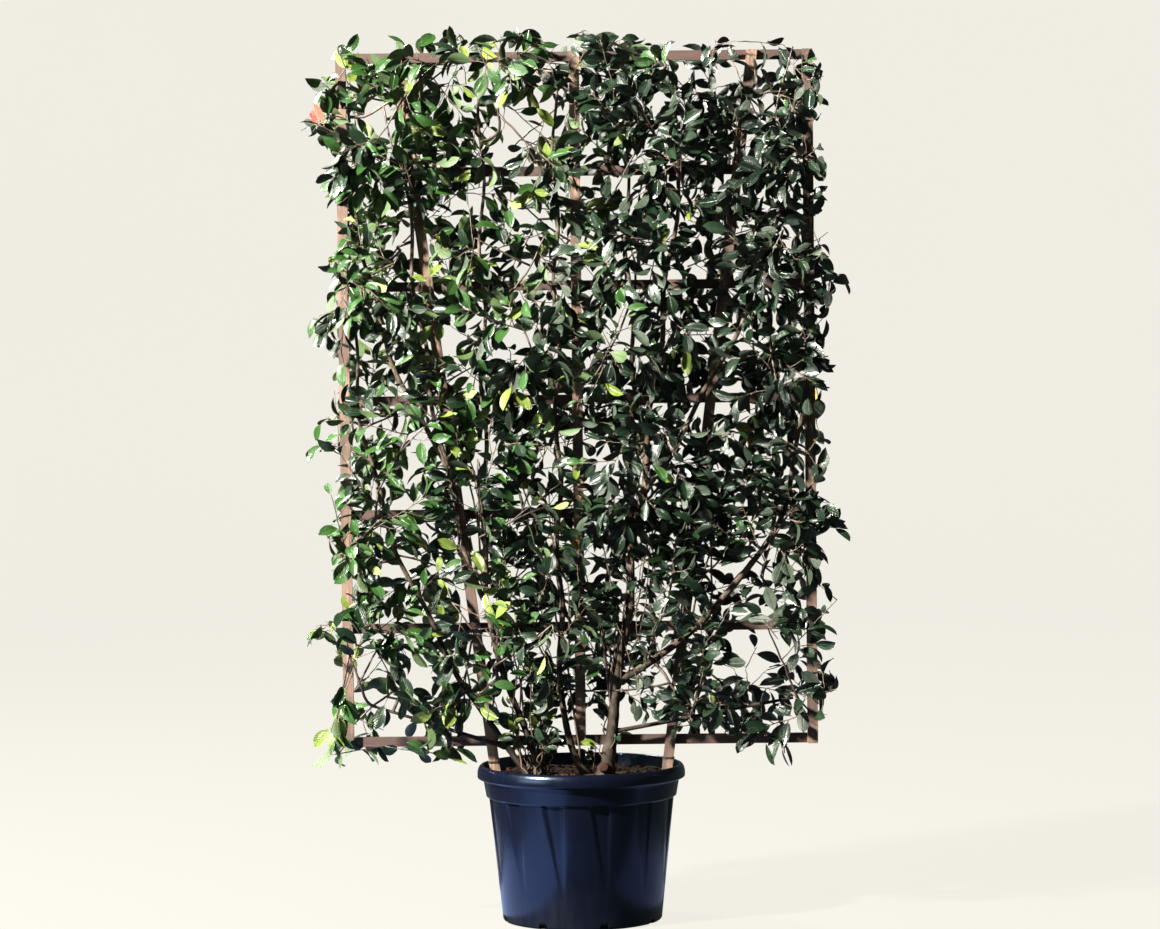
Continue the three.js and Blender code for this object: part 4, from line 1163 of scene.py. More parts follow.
def grow_mass(place, index):
    """A stem from a limb into the mass's layer, twigs that branch from it, and shoots on those."""
    following = stream(CROWN_SEED * 31 + index * 977)
    seat = seat_of(place)
    heart, fork = heart_of(place, seat, following)
    stem = [seat, heart, fork]
    mass_stems.append(stem)
    twigs, shoots, ends, main = [], [], [fork], None
    for k in range(TWIGS):
        start = fork if k == 0 else along_line(main, TWIG_STARTS[k])
        grown = twig_from(place, start, ends, following)
        points = [start, grown[1], grown[2]] if grown else [heart, fork]
        others = list(twigs)
        if k == 0:
            main = points
            twigs.append(stem + [grown[1], grown[2]] if grown else stem)
        elif grown:
            twigs.append(points)
        if grown:
            ends.append(grown[2])
        for station in STATIONS:
            root = along_line(points, station)
            chosen = None
            for i in range(SHOOT_TRIES):
                shoot = draw_shoot(root, place["layer"]["outward"], following)
                if not shoot_fits(place, shoot):
                    continue
                middle = shoot["middle"]
                gaps = [math.hypot(middle.x - s["middle"].x, middle.z - s["middle"].z) for s in shoots]
                shoot["room"] = min([ROOM_ENOUGH] + gaps) + SIZE_WORTH * shoot["size"]
                if chosen and shoot["room"] <= chosen["room"]:
                    continue
                if any(crosses_twig(shoot, twig) for twig in others):
                    continue
                if not any(crosses(shoot, other) for other in shoots):
                    chosen = shoot
            if chosen:
                chosen["parts"] = blade_parts(chosen, 0)
                shoots.append(chosen)
    return twigs, shoots


grown_masses = [(place, *grow_mass(place, index)) for index, place in enumerate(PLACES)]


# Twigs
# Thin red-brown wood, smooth and a little shiny: the masses' stems and twigs, their shoots and side
# shoots, and finer shoots that fill in between, cover the laths, sprout along the limbs and rise at
# their feet. Leaves are dealt out here as well, and each shoot is then cut back to its last one.

TWIG_SIDES = 5
TWIG_STEP = 24
TWIG_THICK = (3.2, 1.9)
MASS_STEM_THICK = 4.6
SHOOT_THICK = 1.8
SIDE_THICK = 1.4
FINE_THICK = 1.5
SHOOT_TAPER = 0.5
SHOOT_REACH = 0.78
SHOOT_FIRST = 0.25
SHOOT_LIFT = (-6, 14)
SIDE_SHOOTS = (0.16, 0.34, 0.55)
SIDE_REACH = (0.36, 0.5)
SIDE_FIRST = 0.4
SIDE_LIFT = (-4, 9)
SIDE_LEAN = (0.45, 0.8)
SIDE_SPREAD = 0.8
SIDE_TILT = (-0.35, 0.35)
TWIG_FACE = Vector((0, 1, 0.3))
BORNE_WITHIN = 36
# The crown's open places, as the photo shows them: x and z of the middle, and the radius.
GAPS = [
    (-170, 2004, 34), (399, 708, 30), (-396, 604, 28), (-498, 2050, 28), (457, 650, 24),
    (-412, 1709, 42), (-128, 1778, 24), (-530, 550, 28), (211, 2059, 24), (117, 506, 22),
    (-268, 495, 30), (382, 2138, 20), (-272, 810, 30), (-259, 700, 26), (210, 610, 22), (500, 560, 24),
    (-452, 1057, 18), (263, 2140, 20), (-700, 1341, 88), (-700, 1748, 88), (-700, 1057, 80),
    (-700, 1910, 64), (-700, 1599, 72), (-700, 2251, 84), (714, 2251, 108), (714, 1971, 92),
    (704, 1738, 90), (710, 498, 98), (704, 1470, 84), (700, 1268, 96), (702, 670, 64), (688, 857, 55),
    (-655, 600, 46), (-655, 819, 54), (-505, 912, 20), (503, 680, 28), (660, 1348, 30), (656, 2100, 36),
    (560, 428, 36), (-642, 395, 34), (-511, 2211, 24), (-665, 500, 26), (-655, 1404, 40),
    (-127, 1654, 24), (-272, 764, 22), (580, 2245, 30), (-655, 1571, 36), (-555, 652, 16),
    (40, 875, 20), (361, 430, 24), (-650, 690, 30), (-558, 402, 24), (-473, 485, 24), (640, 1098, 34),
    (-662, 890, 30), (505, 2080, 26), (-427, 2239, 24), (-77, 1153, 18), (-60, 690, 18),
    (436, 2239, 26), (-640, 1153, 32), (-646, 1930, 30), (640, 2072, 28), (268, 2127, 28),
    (-151, 1988, 22), (-185, 1432, 16), (372, 625, 26), (-188, 1130, 12), (-384, 986, 18),
    (655, 1905, 26), (-452, 402, 26), (-123, 1988, 22), (-485, 2016, 24), (278, 430, 22),
    (-324, 1459, 18), (-623, 2155, 22), (491, 2239, 28), (370, 1293, 18), (632, 1988, 38),
    (323, 2092, 16), (-439, 1126, 16), (63, 1153, 20), (-406, 612, 28), (668, 1933, 40), (652, 931, 34),
    (612, 458, 34), (-499, 654, 20), (634, 1240, 26), (489, 2044, 20), (-109, 680, 20), (-418, 402, 24),
    (-67, 2044, 18), (650, 1153, 32), (616, 875, 20), (-493, 1265, 18), (662, 1560, 26),
    (-300, 1770, 18), (-640, 931, 26), (-237, 1815, 18), (305, 396, 24), (-261, 2127, 18),
    (-622, 2215, 32), (635, 2183, 32), (-123, 2072, 18), (-99, 1710, 16), (122, 1515, 16),
    (-180, 1933, 24), (650, 764, 30), (-627, 1710, 28), (28, 485, 16), (-457, 1988, 16),
    (-640, 513, 24), (-642, 460, 14), (-584, 485, 10), (-483, 2211, 30), (475, 680, 26),
    (-389, 597, 28), (-233, 2127, 18), (-411, 1153, 18), (-273, 959, 16), (-546, 1487, 14),
    (228, 986, 14), (-279, 458, 20), (445, 430, 24), (-469, 875, 26), (-416, 652, 18), (655, 1877, 28),
    (-527, 625, 20), (-473, 541, 20), (-129, 1459, 18), (-68, 1988, 16), (-632, 1237, 18),
    (-133, 1070, 16), (-194, 541, 16), (652, 1654, 22), (491, 2155, 16), (366, 875, 16), (60, 875, 16),
    (-437, 1265, 20), (593, 1320, 14), (-324, 1487, 16),
]
# The places where leaves close the crown: x and z of the middle, in the order of growth.
FULL = [
    (-488, 1766), (-459, 1849), (452, 1098), (-375, 1933), (504, 792), (-356, 1070), (-383, 1126),
    (535, 1098), (-550, 1098), (317, 1515), (-600, 1849), (600, 1014), (261, 1487), (536, 1181),
    (-235, 1933), (101, 2205), (-373, 2100), (-97, 1821), (-348, 1849), (-374, 2016), (487, 1793),
    (-206, 2072), (208, 1793), (-541, 1988), (-71, 1682), (36, 1265), (129, 2155), (-316, 2205),
    (420, 740), (-319, 1933), (259, 1265), (-213, 1376), (-346, 1988), (-408, 1404), (-359, 792),
    (-361, 541), (-185, 1459), (369, 1209), (488, 1960), (-130, 1376), (289, 1543), (-327, 1126),
    (-348, 1070), (-638, 736), (-438, 1181), (448, 708), (339, 986), (502, 569), (178, 1515),
    (-205, 2211), (-268, 1432), (260, 1432), (-323, 1515), (-333, 569), (-553, 792), (-418, 430),
    (620, 1209), (176, 1376), (39, 1515), (196, 625), (-544, 1738), (320, 1849), (-331, 792),
    (-444, 597), (-637, 764), (391, 652), (99, 1933), (-501, 513), (-184, 1543), (-360, 652),
    (539, 1432), (627, 1905), (240, 2155), (-413, 959), (-546, 1515), (281, 708), (93, 1404),
    (-612, 500), (-121, 2239), (625, 1682), (324, 2155), (-632, 1237), (87, 792), (-349, 1738),
    (112, 541), (-207, 1960), (-502, 402), (-566, 2211), (202, 1181), (-261, 2183), (622, 1376),
    (334, 513), (-79, 903), (378, 2016), (-187, 1265), (-613, 430), (377, 1933), (320, 1793),
    (-45, 1515), (-511, 2155), (-210, 1654), (-389, 541), (-600, 1682), (-48, 1237), (168, 597),
    (-278, 541), (-195, 485), (99, 1988), (-624, 2016), (-219, 819), (-132, 1153), (-335, 430),
    (534, 986), (390, 541), (-443, 680), (-623, 2100), (396, 1126), (-497, 870), (-434, 1543),
    (-181, 1766), (-418, 485), (-55, 513), (-629, 1515), (196, 625), (322, 1960), (452, 1153),
    (530, 625), (-626, 1821), (501, 541), (-292, 1877), (-595, 2183), (652, 1599), (645, 986),
    (629, 2127), (585, 600), (419, 652), (-637, 959), (0, 485), (-263, 1988), (-411, 1126), (28, 513),
    (-217, 986), (120, 1293), (156, 2127), (-217, 1070), (212, 2100), (-349, 1710), (-82, 652),
    (-99, 1654), (84, 541), (18, 2211), (-237, 1766), (125, 1766), (-206, 2072), (-494, 1153),
    (-177, 2239),
]
FULL_ROOM = 40
FULL_SHOOTS = 3
FULL_SCATTER = 26
SKY_SHARE = 0.34
GAP_CUTS = 0.8
CROOK = 1.5
FEWEST_LEAVES = 2
BARE_RUN = 60
sprays = []


def draws_at(*points):
    """Random draws that depend on places alone, so that each shoot grows the same beside new ones."""
    return random.Random(" ".join(f"{c:.0f}" for p in points for c in p))


def in_full(p):
    """True in the places that leaves close wholly."""
    return any(math.hypot(p.x - x, p.z - z) < FULL_ROOM for x, z in FULL)


def in_gap(p):
    """True where a point lies in one of the crown's open gaps or where its edge falls in."""
    if any(math.hypot(p.x - x, p.z - z) < radius for x, z, radius in GAPS):
        return True
    if in_full(p):
        return False
    return any(math.hypot(p.x - x, p.z - z) < radius * SKY_SHARE for x, z, radius in SKY)


def bowed(start, along, length, bow, steps):
    """Points on a shallow arc."""
    shares = [i / steps for i in range(steps + 1)]
    return [start + along * (length * share) + bow * math.sin(math.pi * share / 2) ** 2 for share in shares]


def add_shoot(points, thick, normal, first, parent=None, low=False):
    """Adds a slightly crooked shoot through points, with leaves from the share first of its length on."""
    draws = draws_at(points[0], points[-1])
    for point in points[1:]:
        point += Vector([draws.uniform(-CROOK, CROOK) for axis in range(3)])
    along = (points[-1] - points[0]).normalized()
    side = along.cross(normal).normalized()
    sprays.append(dict(
        line=points, thick=thick, side=side, normal=side.cross(along), first=first, parent=parent,
        low=low, leaves=[], kept=-1,
    ))
    return sprays[-1]


def grow(points, thick, normal, first, parent=None, low=False):
    """Adds a shoot, which mostly ends where it reaches one of the crown's gaps."""
    inside = [i for i, p in enumerate(points) if in_gap(p)]
    if inside and draws_at(points[0], points[-1]).random() < GAP_CUTS:
        points = points[:inside[0]]
    if len(points) > 2:
        return add_shoot(points, (thick, thick * SHOOT_TAPER), normal, first, parent, low)


def off_line(spray, point):
    """True where a point lies too far from a shoot to grow on it."""
    return min((p - point).length for p in spray["line"]) > BORNE_WITHIN


for place, twigs, shoots in grown_masses:
    stems = []
    for k, points in enumerate(twigs):
        finer = [points[0]]
        for a, b in zip(points, points[1:]):
            cuts = max(1, round((b - a).length / TWIG_STEP))
            finer += [a.lerp(b, (i + 1) / cuts) for i in range(cuts)]
        for turn in range(3):
            inner = [(a + b * 2 + c) / 4 for a, b, c in zip(finer, finer[1:], finer[2:])]
            finer = [finer[0]] + inner + [finer[-1]]
        if stems and off_line(stems[0], finer[0]):
            continue
        outside = [i for i, p in enumerate(finer) if abs(p.x) > POST_X and in_gap(p)]
        if outside:
            finer = finer[:max(outside[0], 3)]
        thick = (MASS_STEM_THICK if k == 0 else TWIG_THICK[0], TWIG_THICK[1])
        stems.append(add_shoot(finer, thick, TWIG_FACE, 2, stems[0] if stems else None))
    for shoot in shoots:
        root = shoot["root"]
        bearer = min(stems, key=lambda stem: min((p - root).length for p in stem["line"]))
        if off_line(bearer, root):
            continue
        draws = draws_at(root, shoot["tip"])
        length = SHOOT_LENGTH * shoot["size"] * SHOOT_REACH
        droop = shoot["normal"] * (-0.5 * SHOOT_DROOP) + Vector((0, 0, draws.uniform(*SHOOT_LIFT)))
        points = bowed(root, shoot["along"], length, droop, 6)
        main = grow(points, SHOOT_THICK, shoot["normal"], SHOOT_FIRST, bearer)
        if not main:
            continue
        for number, share in enumerate(SIDE_SHOOTS):
            hand = 1 if number % 2 == (shoot["size"] > 0.95) else -1
            lean = draws.uniform(*SIDE_LEAN)
            along = (shoot["along"] * lean + shoot["side"] * hand * SIDE_SPREAD
                     + shoot["normal"] * draws.uniform(*SIDE_TILT)).normalized()
            reach = SHOOT_WIDTH * shoot["size"] * draws.uniform(*SIDE_REACH)
            lift = Vector((0, 0, draws.uniform(*SIDE_LIFT)))
            start = along_line(main["line"], share)
            grow(bowed(start, along, reach, lift, 4), SIDE_THICK, shoot["normal"], SIDE_FIRST, main)

FILL_GRID = 38
FILL_JITTER = 12
FILL_ROOM = 26
FILL_LEFT_OUT = 0.08
FILL_REACH = (36, 190)
FILL_TRIES = 12
FILL_LAYERS = ((-128, -60), (-50, -22), (30, 100))
FILL_BOW = 9
FILL_LIFT = (-4, 14)
FILL_FIRST = 0.4
OUTLINE_MARGIN = 14
spots = [(p, spray) for spray in sprays if spray["first"] < 1 for p in spray["line"][1:]]


def reach_for(goal):
    """Grows a shoot to a point from the nearest twig that has a clear way to it."""
    near = [
        ((p - goal).length, i) for i, (p, spray) in enumerate(spots)
        if abs(p.x - goal.x) < FILL_REACH[1] and abs(p.z - goal.z) < FILL_REACH[1]
    ]
    for far, i in sorted(near)[:FILL_TRIES]:
        start, bearer = spots[i]
        if not FILL_REACH[0] < far < FILL_REACH[1]:
            continue
        if clear_of_laths(start, goal, 1) and clear_of_limbs(start, goal, 1):
            draws = draws_at(goal)
            bow = Vector((draws.uniform(-FILL_BOW, FILL_BOW), 0, draws.uniform(*FILL_LIFT)))
            points = bowed(start.copy(), (goal - start).normalized(), far, bow, 5)
            face = Vector((0, 1 if goal.y > 0 else -1, 0.2))
            made = grow(points, FINE_THICK, face, FILL_FIRST, bearer)
            if made:
                spots.extend((p, made) for p in made["line"][2:])
            return


def room_at(goal, front=math.inf):
    """How far the nearest shoot lies from a point, seen from the front, among those before front."""
    return min(math.hypot(p.x - goal.x, p.z - goal.z) for p, spray in spots if p.y < front)


def takes_shoot(goal):
    """True where a point lies inside the crown's outline and in none of its gaps."""
    return in_outline(goal, OUTLINE_MARGIN) and not in_gap(goal)


columns = math.ceil(CROWN_HALF_WIDTH / FILL_GRID)
for row in range(int((CROWN_TOP - CROWN_BOTTOM) / FILL_GRID)):
    for column in range(-columns, columns + 1):
        draws = draws_at((row, column))
        x = column * FILL_GRID + draws.uniform(-FILL_JITTER, FILL_JITTER)
        z = CROWN_BOTTOM + row * FILL_GRID + draws.uniform(-FILL_JITTER, FILL_JITTER)
        goal = Vector((x, draws.uniform(*draws.choice(FILL_LAYERS)), z))
        left_out = draws.random() < FILL_LEFT_OUT
        if not left_out and takes_shoot(goal) and room_at(goal) > FILL_ROOM:
            reach_for(goal)

for x, z in FULL:
    draws = draws_at((x, z))
    for i in range(FULL_SHOOTS):
        aside = Vector([draws.uniform(-FULL_SCATTER, FULL_SCATTER) for axis in range(2)])
        reach_for(Vector((x + aside.x, draws.uniform(*draws.choice(FILL_LAYERS)), z + aside.y)))

COVER_SHARES = (0.7, 0.9, 1, 1, 0.7, 0.8, 0.6, 0.8, 0.8, 0.7, 0.6, 0.3)
COVER_STEP = 30
COVER_ROOM = 20
COVER_DEPTH = (-105, -46)
COVER_BEFORE = -30
for (x0, z0, x1, z1, *sizes), share in zip(lath_lines, COVER_SHARES):
    length = math.hypot(x1 - x0, z1 - z0)
    for i in range(int(length / COVER_STEP)):
        draws = draws_at((x0, z0, i))
        way = (i + draws.random()) * COVER_STEP / length
        goal = Vector((x0 + (x1 - x0) * way, draws.uniform(*COVER_DEPTH), z0 + (z1 - z0) * way))
        chosen = draws.random() < share
        if chosen and takes_shoot(goal) and room_at(goal, COVER_BEFORE) > COVER_ROOM:
            reach_for(goal)

SPUR_STEP = 58
SPUR_LENGTH = (34, 84)
SPUR_SHIFT = 0.4
SPUR_RISE = (0.2, 0.9)
SPUR_FRONT = 0.7
SPUR_FIRST = 0.35
SPUR_FOOT = 560
for limb in LIMBS:
    rise = limb["end"][1] - limb["start"][2]
    for i in range(1, int(rise / SPUR_STEP)):
        draws = draws_at((*limb["end"], i))
        point = limb_point(limb, (i + draws.uniform(-SPUR_SHIFT, SPUR_SHIFT)) * SPUR_STEP / rise)
        turn = draws.uniform(0, 2 * math.pi)
        length = draws.uniform(*SPUR_LENGTH)
        face = Vector((0, -1 if draws.random() < SPUR_FRONT else 1, 0.3))
        along = Vector((math.cos(turn), 0.5 * math.sin(turn), draws.uniform(*SPUR_RISE))).normalized()
        if point.z > SPUR_FOOT and clear_of_laths(point + along * 12, point + along * length, 3):
            points = bowed(point, along, length, Vector((0, 0, 6)), 3)
            grow(points, FINE_THICK, face, SPUR_FIRST)

RISERS = dict(
    stem_left_low=4, stem_left=5, stem_middle=7, stem_right=8, bough_right_mid=8, bough_left_inner=4,
)
RISER_FEET = (0.01, 0.2)
RISER_RISE = (220, 560)
RISER_LEAN = 120
RISER_DEPTH = (-62, -46)
RISER_THICK = (2.2, 3.6)
RISER_STEPS = 10
RISER_WAVE = 9
RISER_FIRST = 0.55
LOW_FACE = Vector((0, -1, 0.3))
for name, count in RISERS.items():
    limb = next(limb for limb in LIMBS if limb["name"] == name)
    for i in range(count):
        draws = draws_at((*limb["end"], i))
        start = limb_point(limb, draws.uniform(*RISER_FEET))
        goal = start + Vector((draws.uniform(-1, 1) * RISER_LEAN, 0, draws.uniform(*RISER_RISE)))
        goal.y = draws.uniform(*RISER_DEPTH)
        phase = draws.uniform(0, 2 * math.pi)
        points = []
        for k in range(RISER_STEPS + 1):
            share = k / RISER_STEPS
            point = start.lerp(goal, share)
            point.x += RISER_WAVE * math.sin(share * 6 + phase) * min(1, share * WANDER_START)
            point.y = start.y + (goal.y - start.y) * ease(0, 0.4, share)
            points.append(point)
        grow(points, draws.uniform(*RISER_THICK), LOW_FACE, RISER_FIRST)

SUCKERS = [(-134, -28, 12), (-98, -34, 8), (14, -28, 3), (62, -34, 4)]
SUCKER_ROOM = (9, 26)
SUCKER_RISE = (80, 190)
SUCKER_LEAN = 75
SUCKER_DEPTH = (-40, 25)
SUCKER_OUTWARD = 0.45
SUCKER_THICK = (2, 3.8)
SUCKER_KNEES = 6
SUCKER_FIRST = 0.4
for x, y, count in SUCKERS:
    for i in range(count):
        draws = draws_at((x, y, i))
        turn = draws.uniform(0, 2 * math.pi)
        apart = draws.uniform(*SUCKER_ROOM)
        start = Vector((x + apart * math.cos(turn), y + apart * math.sin(turn), SOIL_TOP - 6))
        lean = draws.uniform(-1, 1) * SUCKER_LEAN
        goal = start + Vector((lean, draws.uniform(*SUCKER_DEPTH), draws.uniform(*SUCKER_RISE)))
        outward = Vector((-lean * SUCKER_OUTWARD, 0, 0))
        points = bowed(start, (goal - start).normalized(), (goal - start).length, outward, 9)
        for point in points[1:]:
            point.x += draws.uniform(-SUCKER_KNEES, SUCKER_KNEES)
        grow(points, draws.uniform(*SUCKER_THICK), LOW_FACE, SUCKER_FIRST, low=True)

LEAF_LENGTH = (47, 76)
LOW_LEAF_GAIN = 0.1
FOOT_LEAF_LOSS = 0.24
FOOT_X = 40
LEAF_WIDTH = 0.48
LEAF_GAP = (10.5, 15.5)
TIP_CROWDING = 0.55
EDGE_FIRST = 0.3
STALK = 8
GOLDEN = math.radians(137.5)
LEAF_TURN = 0.3
LEAF_SPREAD = (0.95, 0.62)
LEAF_FORWARD = (0.35, 0.75, 0.12)
LEAF_HANG = Vector((0, 0, -0.3))
LEAF_LIGHT = Vector((0, 0, 0.4))
LEAF_ROLL = 1.1
LEAF_ROOM = (0.28, 0.25)
TIP_SMALLER = 0.2
LEAF_FORMS = [
    (0.16, 0.1, 0), (0.34, 0.2, 0.3), (0.46, 0.06, -0.25), (0.24, 0.34, 0.15), (0.6, 0.16, 0),
    (0.3, 0.26, -0.4), (0.7, 0.4, 0.2), (0.4, 0.5, -0.15),
]
PLAIN_TINTS = ("dark", "deep", "green")
BRONZE_SHARE = 0.007
AMBER_SHARE = 0.004
# Lime and green grow commoner towards the left: partly fresh growth and partly painted light on the lit
# side, and the lime also paints the glow of backlit leaves.
LIME_AND_BACKLIT_SHARES = (0.003, 0.17)
LEFT_LIT_GREEN_SHARES = (0.01, 0.52)
# The dark tint grows commoner towards the right: painted shade on the side away from the lamp.
RIGHT_SHADE_SHARE = 0.4
FRESH_FROM = 0.62
STEMS_SHOW = 1250
STEM_ROOM = 22
STEM_BARE = 0.6
FOOT_SHOWS = 840
FOOT_ROOM = 34
FOOT_BARE = 0.95
PATCH_SIZE = 29
PATCH_OPEN = (0.04, 0.2)
PATCH_DROP = 0.85
LIP_ROOM = 25
EDGE_OVER = 10


def tint_of(point, draws):
    """The tint of a spray: fresh green and lime show more towards the left, partly as painted light, and a
    dark green of painted shade more towards the right.
    """
    leftward = 1 - ease(-550, 200, point.x)
    lime = LIME_AND_BACKLIT_SHARES[0] + LIME_AND_BACKLIT_SHARES[1] * (1 - ease(-460, 620, point.x))
    drawn = draws.random()
    for tint, share in (("bronze", BRONZE_SHARE), ("amber", AMBER_SHARE), ("lime", lime)):
        if drawn < share:
            return tint
        drawn -= share
    if drawn < LEFT_LIT_GREEN_SHARES[0] + LEFT_LIT_GREEN_SHARES[1] * leftward:
        return "green"
    return "dark" if drawn > 1 - RIGHT_SHADE_SHARE * ease(-150, 420, point.x) else "deep"


def leaf_scale(point):
    """How large leaves grow at a place: larger low at the sides and smaller over the stems' feet."""
    low = 1 - ease(CROWN_BOTTOM, CROWN_BOTTOM + 700, point.z)
    middle = 1 - ease(130, 400, abs(point.x - FOOT_X))
    return 1 + low * (LOW_LEAF_GAIN - (LOW_LEAF_GAIN + FOOT_LEAF_LOSS) * middle)


def in_thin_patch(point):
    """True in the crown's many small openings, which are wider towards the left."""
    if in_full(point):
        return False
    leaves_open = PATCH_OPEN[0] + (PATCH_OPEN[1] - PATCH_OPEN[0]) * ease(-600, 300, point.x)
    return noise.noise(Vector((point.x / PATCH_SIZE, 0.5, point.z / PATCH_SIZE))) > leaves_open


def leaf_stays(foot, tip, width, low, draws):
    """True where a leaf keeps inside the crown, off the wood and out of the open sky."""
    if low:
        if tip.z < POT_HEIGHT + LIP_ROOM:
            return False
    elif not in_outline(tip, -EDGE_OVER) or tip.z < CROWN_BOTTOM:
        return False
    middle = foot.lerp(tip, 0.55)
    if in_gap(middle) or in_gap(tip) or in_thin_patch(middle) and draws.random() < PATCH_DROP:
        return False
    at_foot = middle.z < FOOT_SHOWS and middle.x > 0
    room = FOOT_ROOM if at_foot else STEM_ROOM
    bare = draws.random() < (FOOT_BARE if at_foot else STEM_BARE)
    if bare and middle.z < STEMS_SHOW and middle.y < -40:
        for start, end, radius in limb_lines:
            if start.z - 20 < middle.z < end.z + 20:
                share = (middle.z - start.z) / (end.z - start.z)
                if abs(start.x + (end.x - start.x) * share - middle.x) < room:
                    return False
    if not clear_of_laths(foot, tip, width * LEAF_ROOM[0]):
        return False
    return clear_of_limbs(foot.lerp(tip, 0.15), tip, width * LEAF_ROOM[1])


def seat_leaves(spray):
    """Deals leaves along a shoot, in a spiral that crowds at its tip, and keeps those with room."""
    line = spray["line"]
    draws = draws_at(line[0], line[-1])
    length = sum((b - a).length for a, b in zip(line, line[1:]))
    tip_tint = tint_of(line[0], draws)
    old_tint = tip_tint if tip_tint in PLAIN_TINTS else "green"
    along = (line[-1] - line[0]).normalized()
    reaches_out = spray["first"] > 1 and abs(line[-1].x) > POST_X
    travelled = length * (EDGE_FIRST if reaches_out else spray["first"])
    turn = draws.uniform(0, 2 * math.pi)
    while travelled <= length:
        share = travelled / length
        root = along_line(line, share)
        lift = LEAF_SPREAD[0] * math.cos(turn) * spray["side"]
        lift += LEAF_SPREAD[1] * math.sin(turn) * spray["normal"]
        least, gain, spread = LEAF_FORWARD
        forward = least + gain * share ** 2 + draws.uniform(-spread, spread)
        pointing = (along * forward + lift + LEAF_HANG).normalized()
        face = spray["normal"] * 0.35 + along * 0.3 + LEAF_LIGHT
        face += Vector([draws.uniform(-LEAF_ROLL, LEAF_ROLL) for axis in range(3)])
        across = pointing.cross(face).normalized()
        face = across.cross(pointing)
        size = draws.uniform(*LEAF_LENGTH) * (1 - TIP_SMALLER * share) * leaf_scale(root)
        form = draws.randrange(len(LEAF_FORMS))
        turn += GOLDEN + draws.uniform(-LEAF_TURN, LEAF_TURN)
        travelled += draws.uniform(*LEAF_GAP) * (1 - TIP_CROWDING * share) * leaf_scale(root)
        foot = root + pointing * STALK
        tip = foot + pointing * size - face * LEAF_FORMS[form][1] * size
        if leaf_stays(foot, tip, size * LEAF_WIDTH, spray["low"], draws):
            spot = Matrix((across, pointing, face)).transposed().to_4x4() @ Matrix.Scale(size * MM, 4)
            spot.translation = foot * MM
            tint = tip_tint if share > FRESH_FROM else old_tint
            leaf = dict(form=form, spot=spot, root=root, foot=foot, tint=tint, share=share)
            spray["leaves"].append(leaf)


# A side shoot is left out where the shoot that would bear it has no leaf.
for spray in sprays:
    bearer = spray["parent"]
    if not bearer or bearer["leaves"] or bearer["first"] > 1:
        seat_leaves(spray)
# Each shoot ends at its last leaf, before any long bare run, or at the last shoot that it bears.
for spray in reversed(sprays):
    steps = len(spray["line"]) - 1
    if spray["kept"] < 0:
        length = sum((b - a).length for a, b in zip(spray["line"], spray["line"][1:]))
        last, borne = spray["first"] * length, []
        for leaf in spray["leaves"]:
            if leaf["share"] * length - last < BARE_RUN:
                borne.append(leaf)
                last = leaf["share"] * length
        spray["leaves"] = borne if len(borne) >= FEWEST_LEAVES else []
        if not spray["leaves"]:
            continue
    spray["kept"] = max([spray["kept"]] + [math.ceil(leaf["share"] * steps) for leaf in spray["leaves"]])
    if spray["parent"]:
        line = spray["parent"]["line"]
        near = min(range(len(line)), key=lambda i: (line[i] - spray["line"][0]).length)
        spray["parent"]["kept"] = max(spray["parent"]["kept"], min(near + 1, len(line) - 1))

twig_finish = Finish("twig_bark", Roughness=0.5)
tone = twig_finish.grain(14, 3)
fleck = twig_finish.grain(330, 4)
wood = twig_finish.mix(
    twig_finish.steps(tone, (0.42, 0), (0.66, 1)), (0.02, 0.012, 0.009, 1), (0.13, 0.094, 0.073, 1))
twig_material = twig_finish.cover(
    Base_Color=twig_finish.mix(fleck * 0.5, wood, (0.05, 0.03, 0.02, 1)),
    Normal=twig_finish.bump(fleck, 0.0006),
)
shoots_made = bmesh.new()
rod_mesh = bpy.data.meshes.new("rod")
for spray in sprays:
    if spray["kept"] < 1:
        continue
    thick, thin = spray["thick"]
    kept = spray["kept"]
    radii = [thick + (thin - thick) * (i / kept) for i in range(kept + 1)]
    rod = bmesh.new()
    tube(rod, spray["line"][:kept + 1], radii, TWIG_SIDES)
    bmesh.ops.recalc_face_normals(rod, faces=rod.faces)
    rod.to_mesh(rod_mesh)
    rod.free()
    shoots_made.from_mesh(rod_mesh)
twig_piece = settle("twigs", shoots_made, twig_material)
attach(twig_piece, "root")


# Leaves
# Leathery evergreen leaves 30 to 75 mm long, most of them 40 to 65, widest past the middle and
# folded along a pale midrib. They spiral up each shoot on short stalks. Most are deep glossy green,
# some new ones at the tips are lime green or bronze red, and a few are amber. The lime also paints
# the glow of backlit leaves, more green and lime towards the left is painted light, and a darker
# green towards the right is painted shade.

LEAF_WIDEST = 0.56
LEAF_LENS = 0.006
LEAF_ROWS = 6
LEAF_COLUMNS = 2
BACK_FROM = 20
FRONT_FROM = -100


def leaf_width(share):
    """Half the width of a leaf a unit long, at a share of the way from its stalk to its tip."""
    narrow = 0.9 * (1 - LEAF_WIDEST) / LEAF_WIDEST
    shape = (share / LEAF_WIDEST) ** 0.9 * ((1 - share) / (1 - LEAF_WIDEST)) ** narrow
    return LEAF_WIDTH / 2 * shape


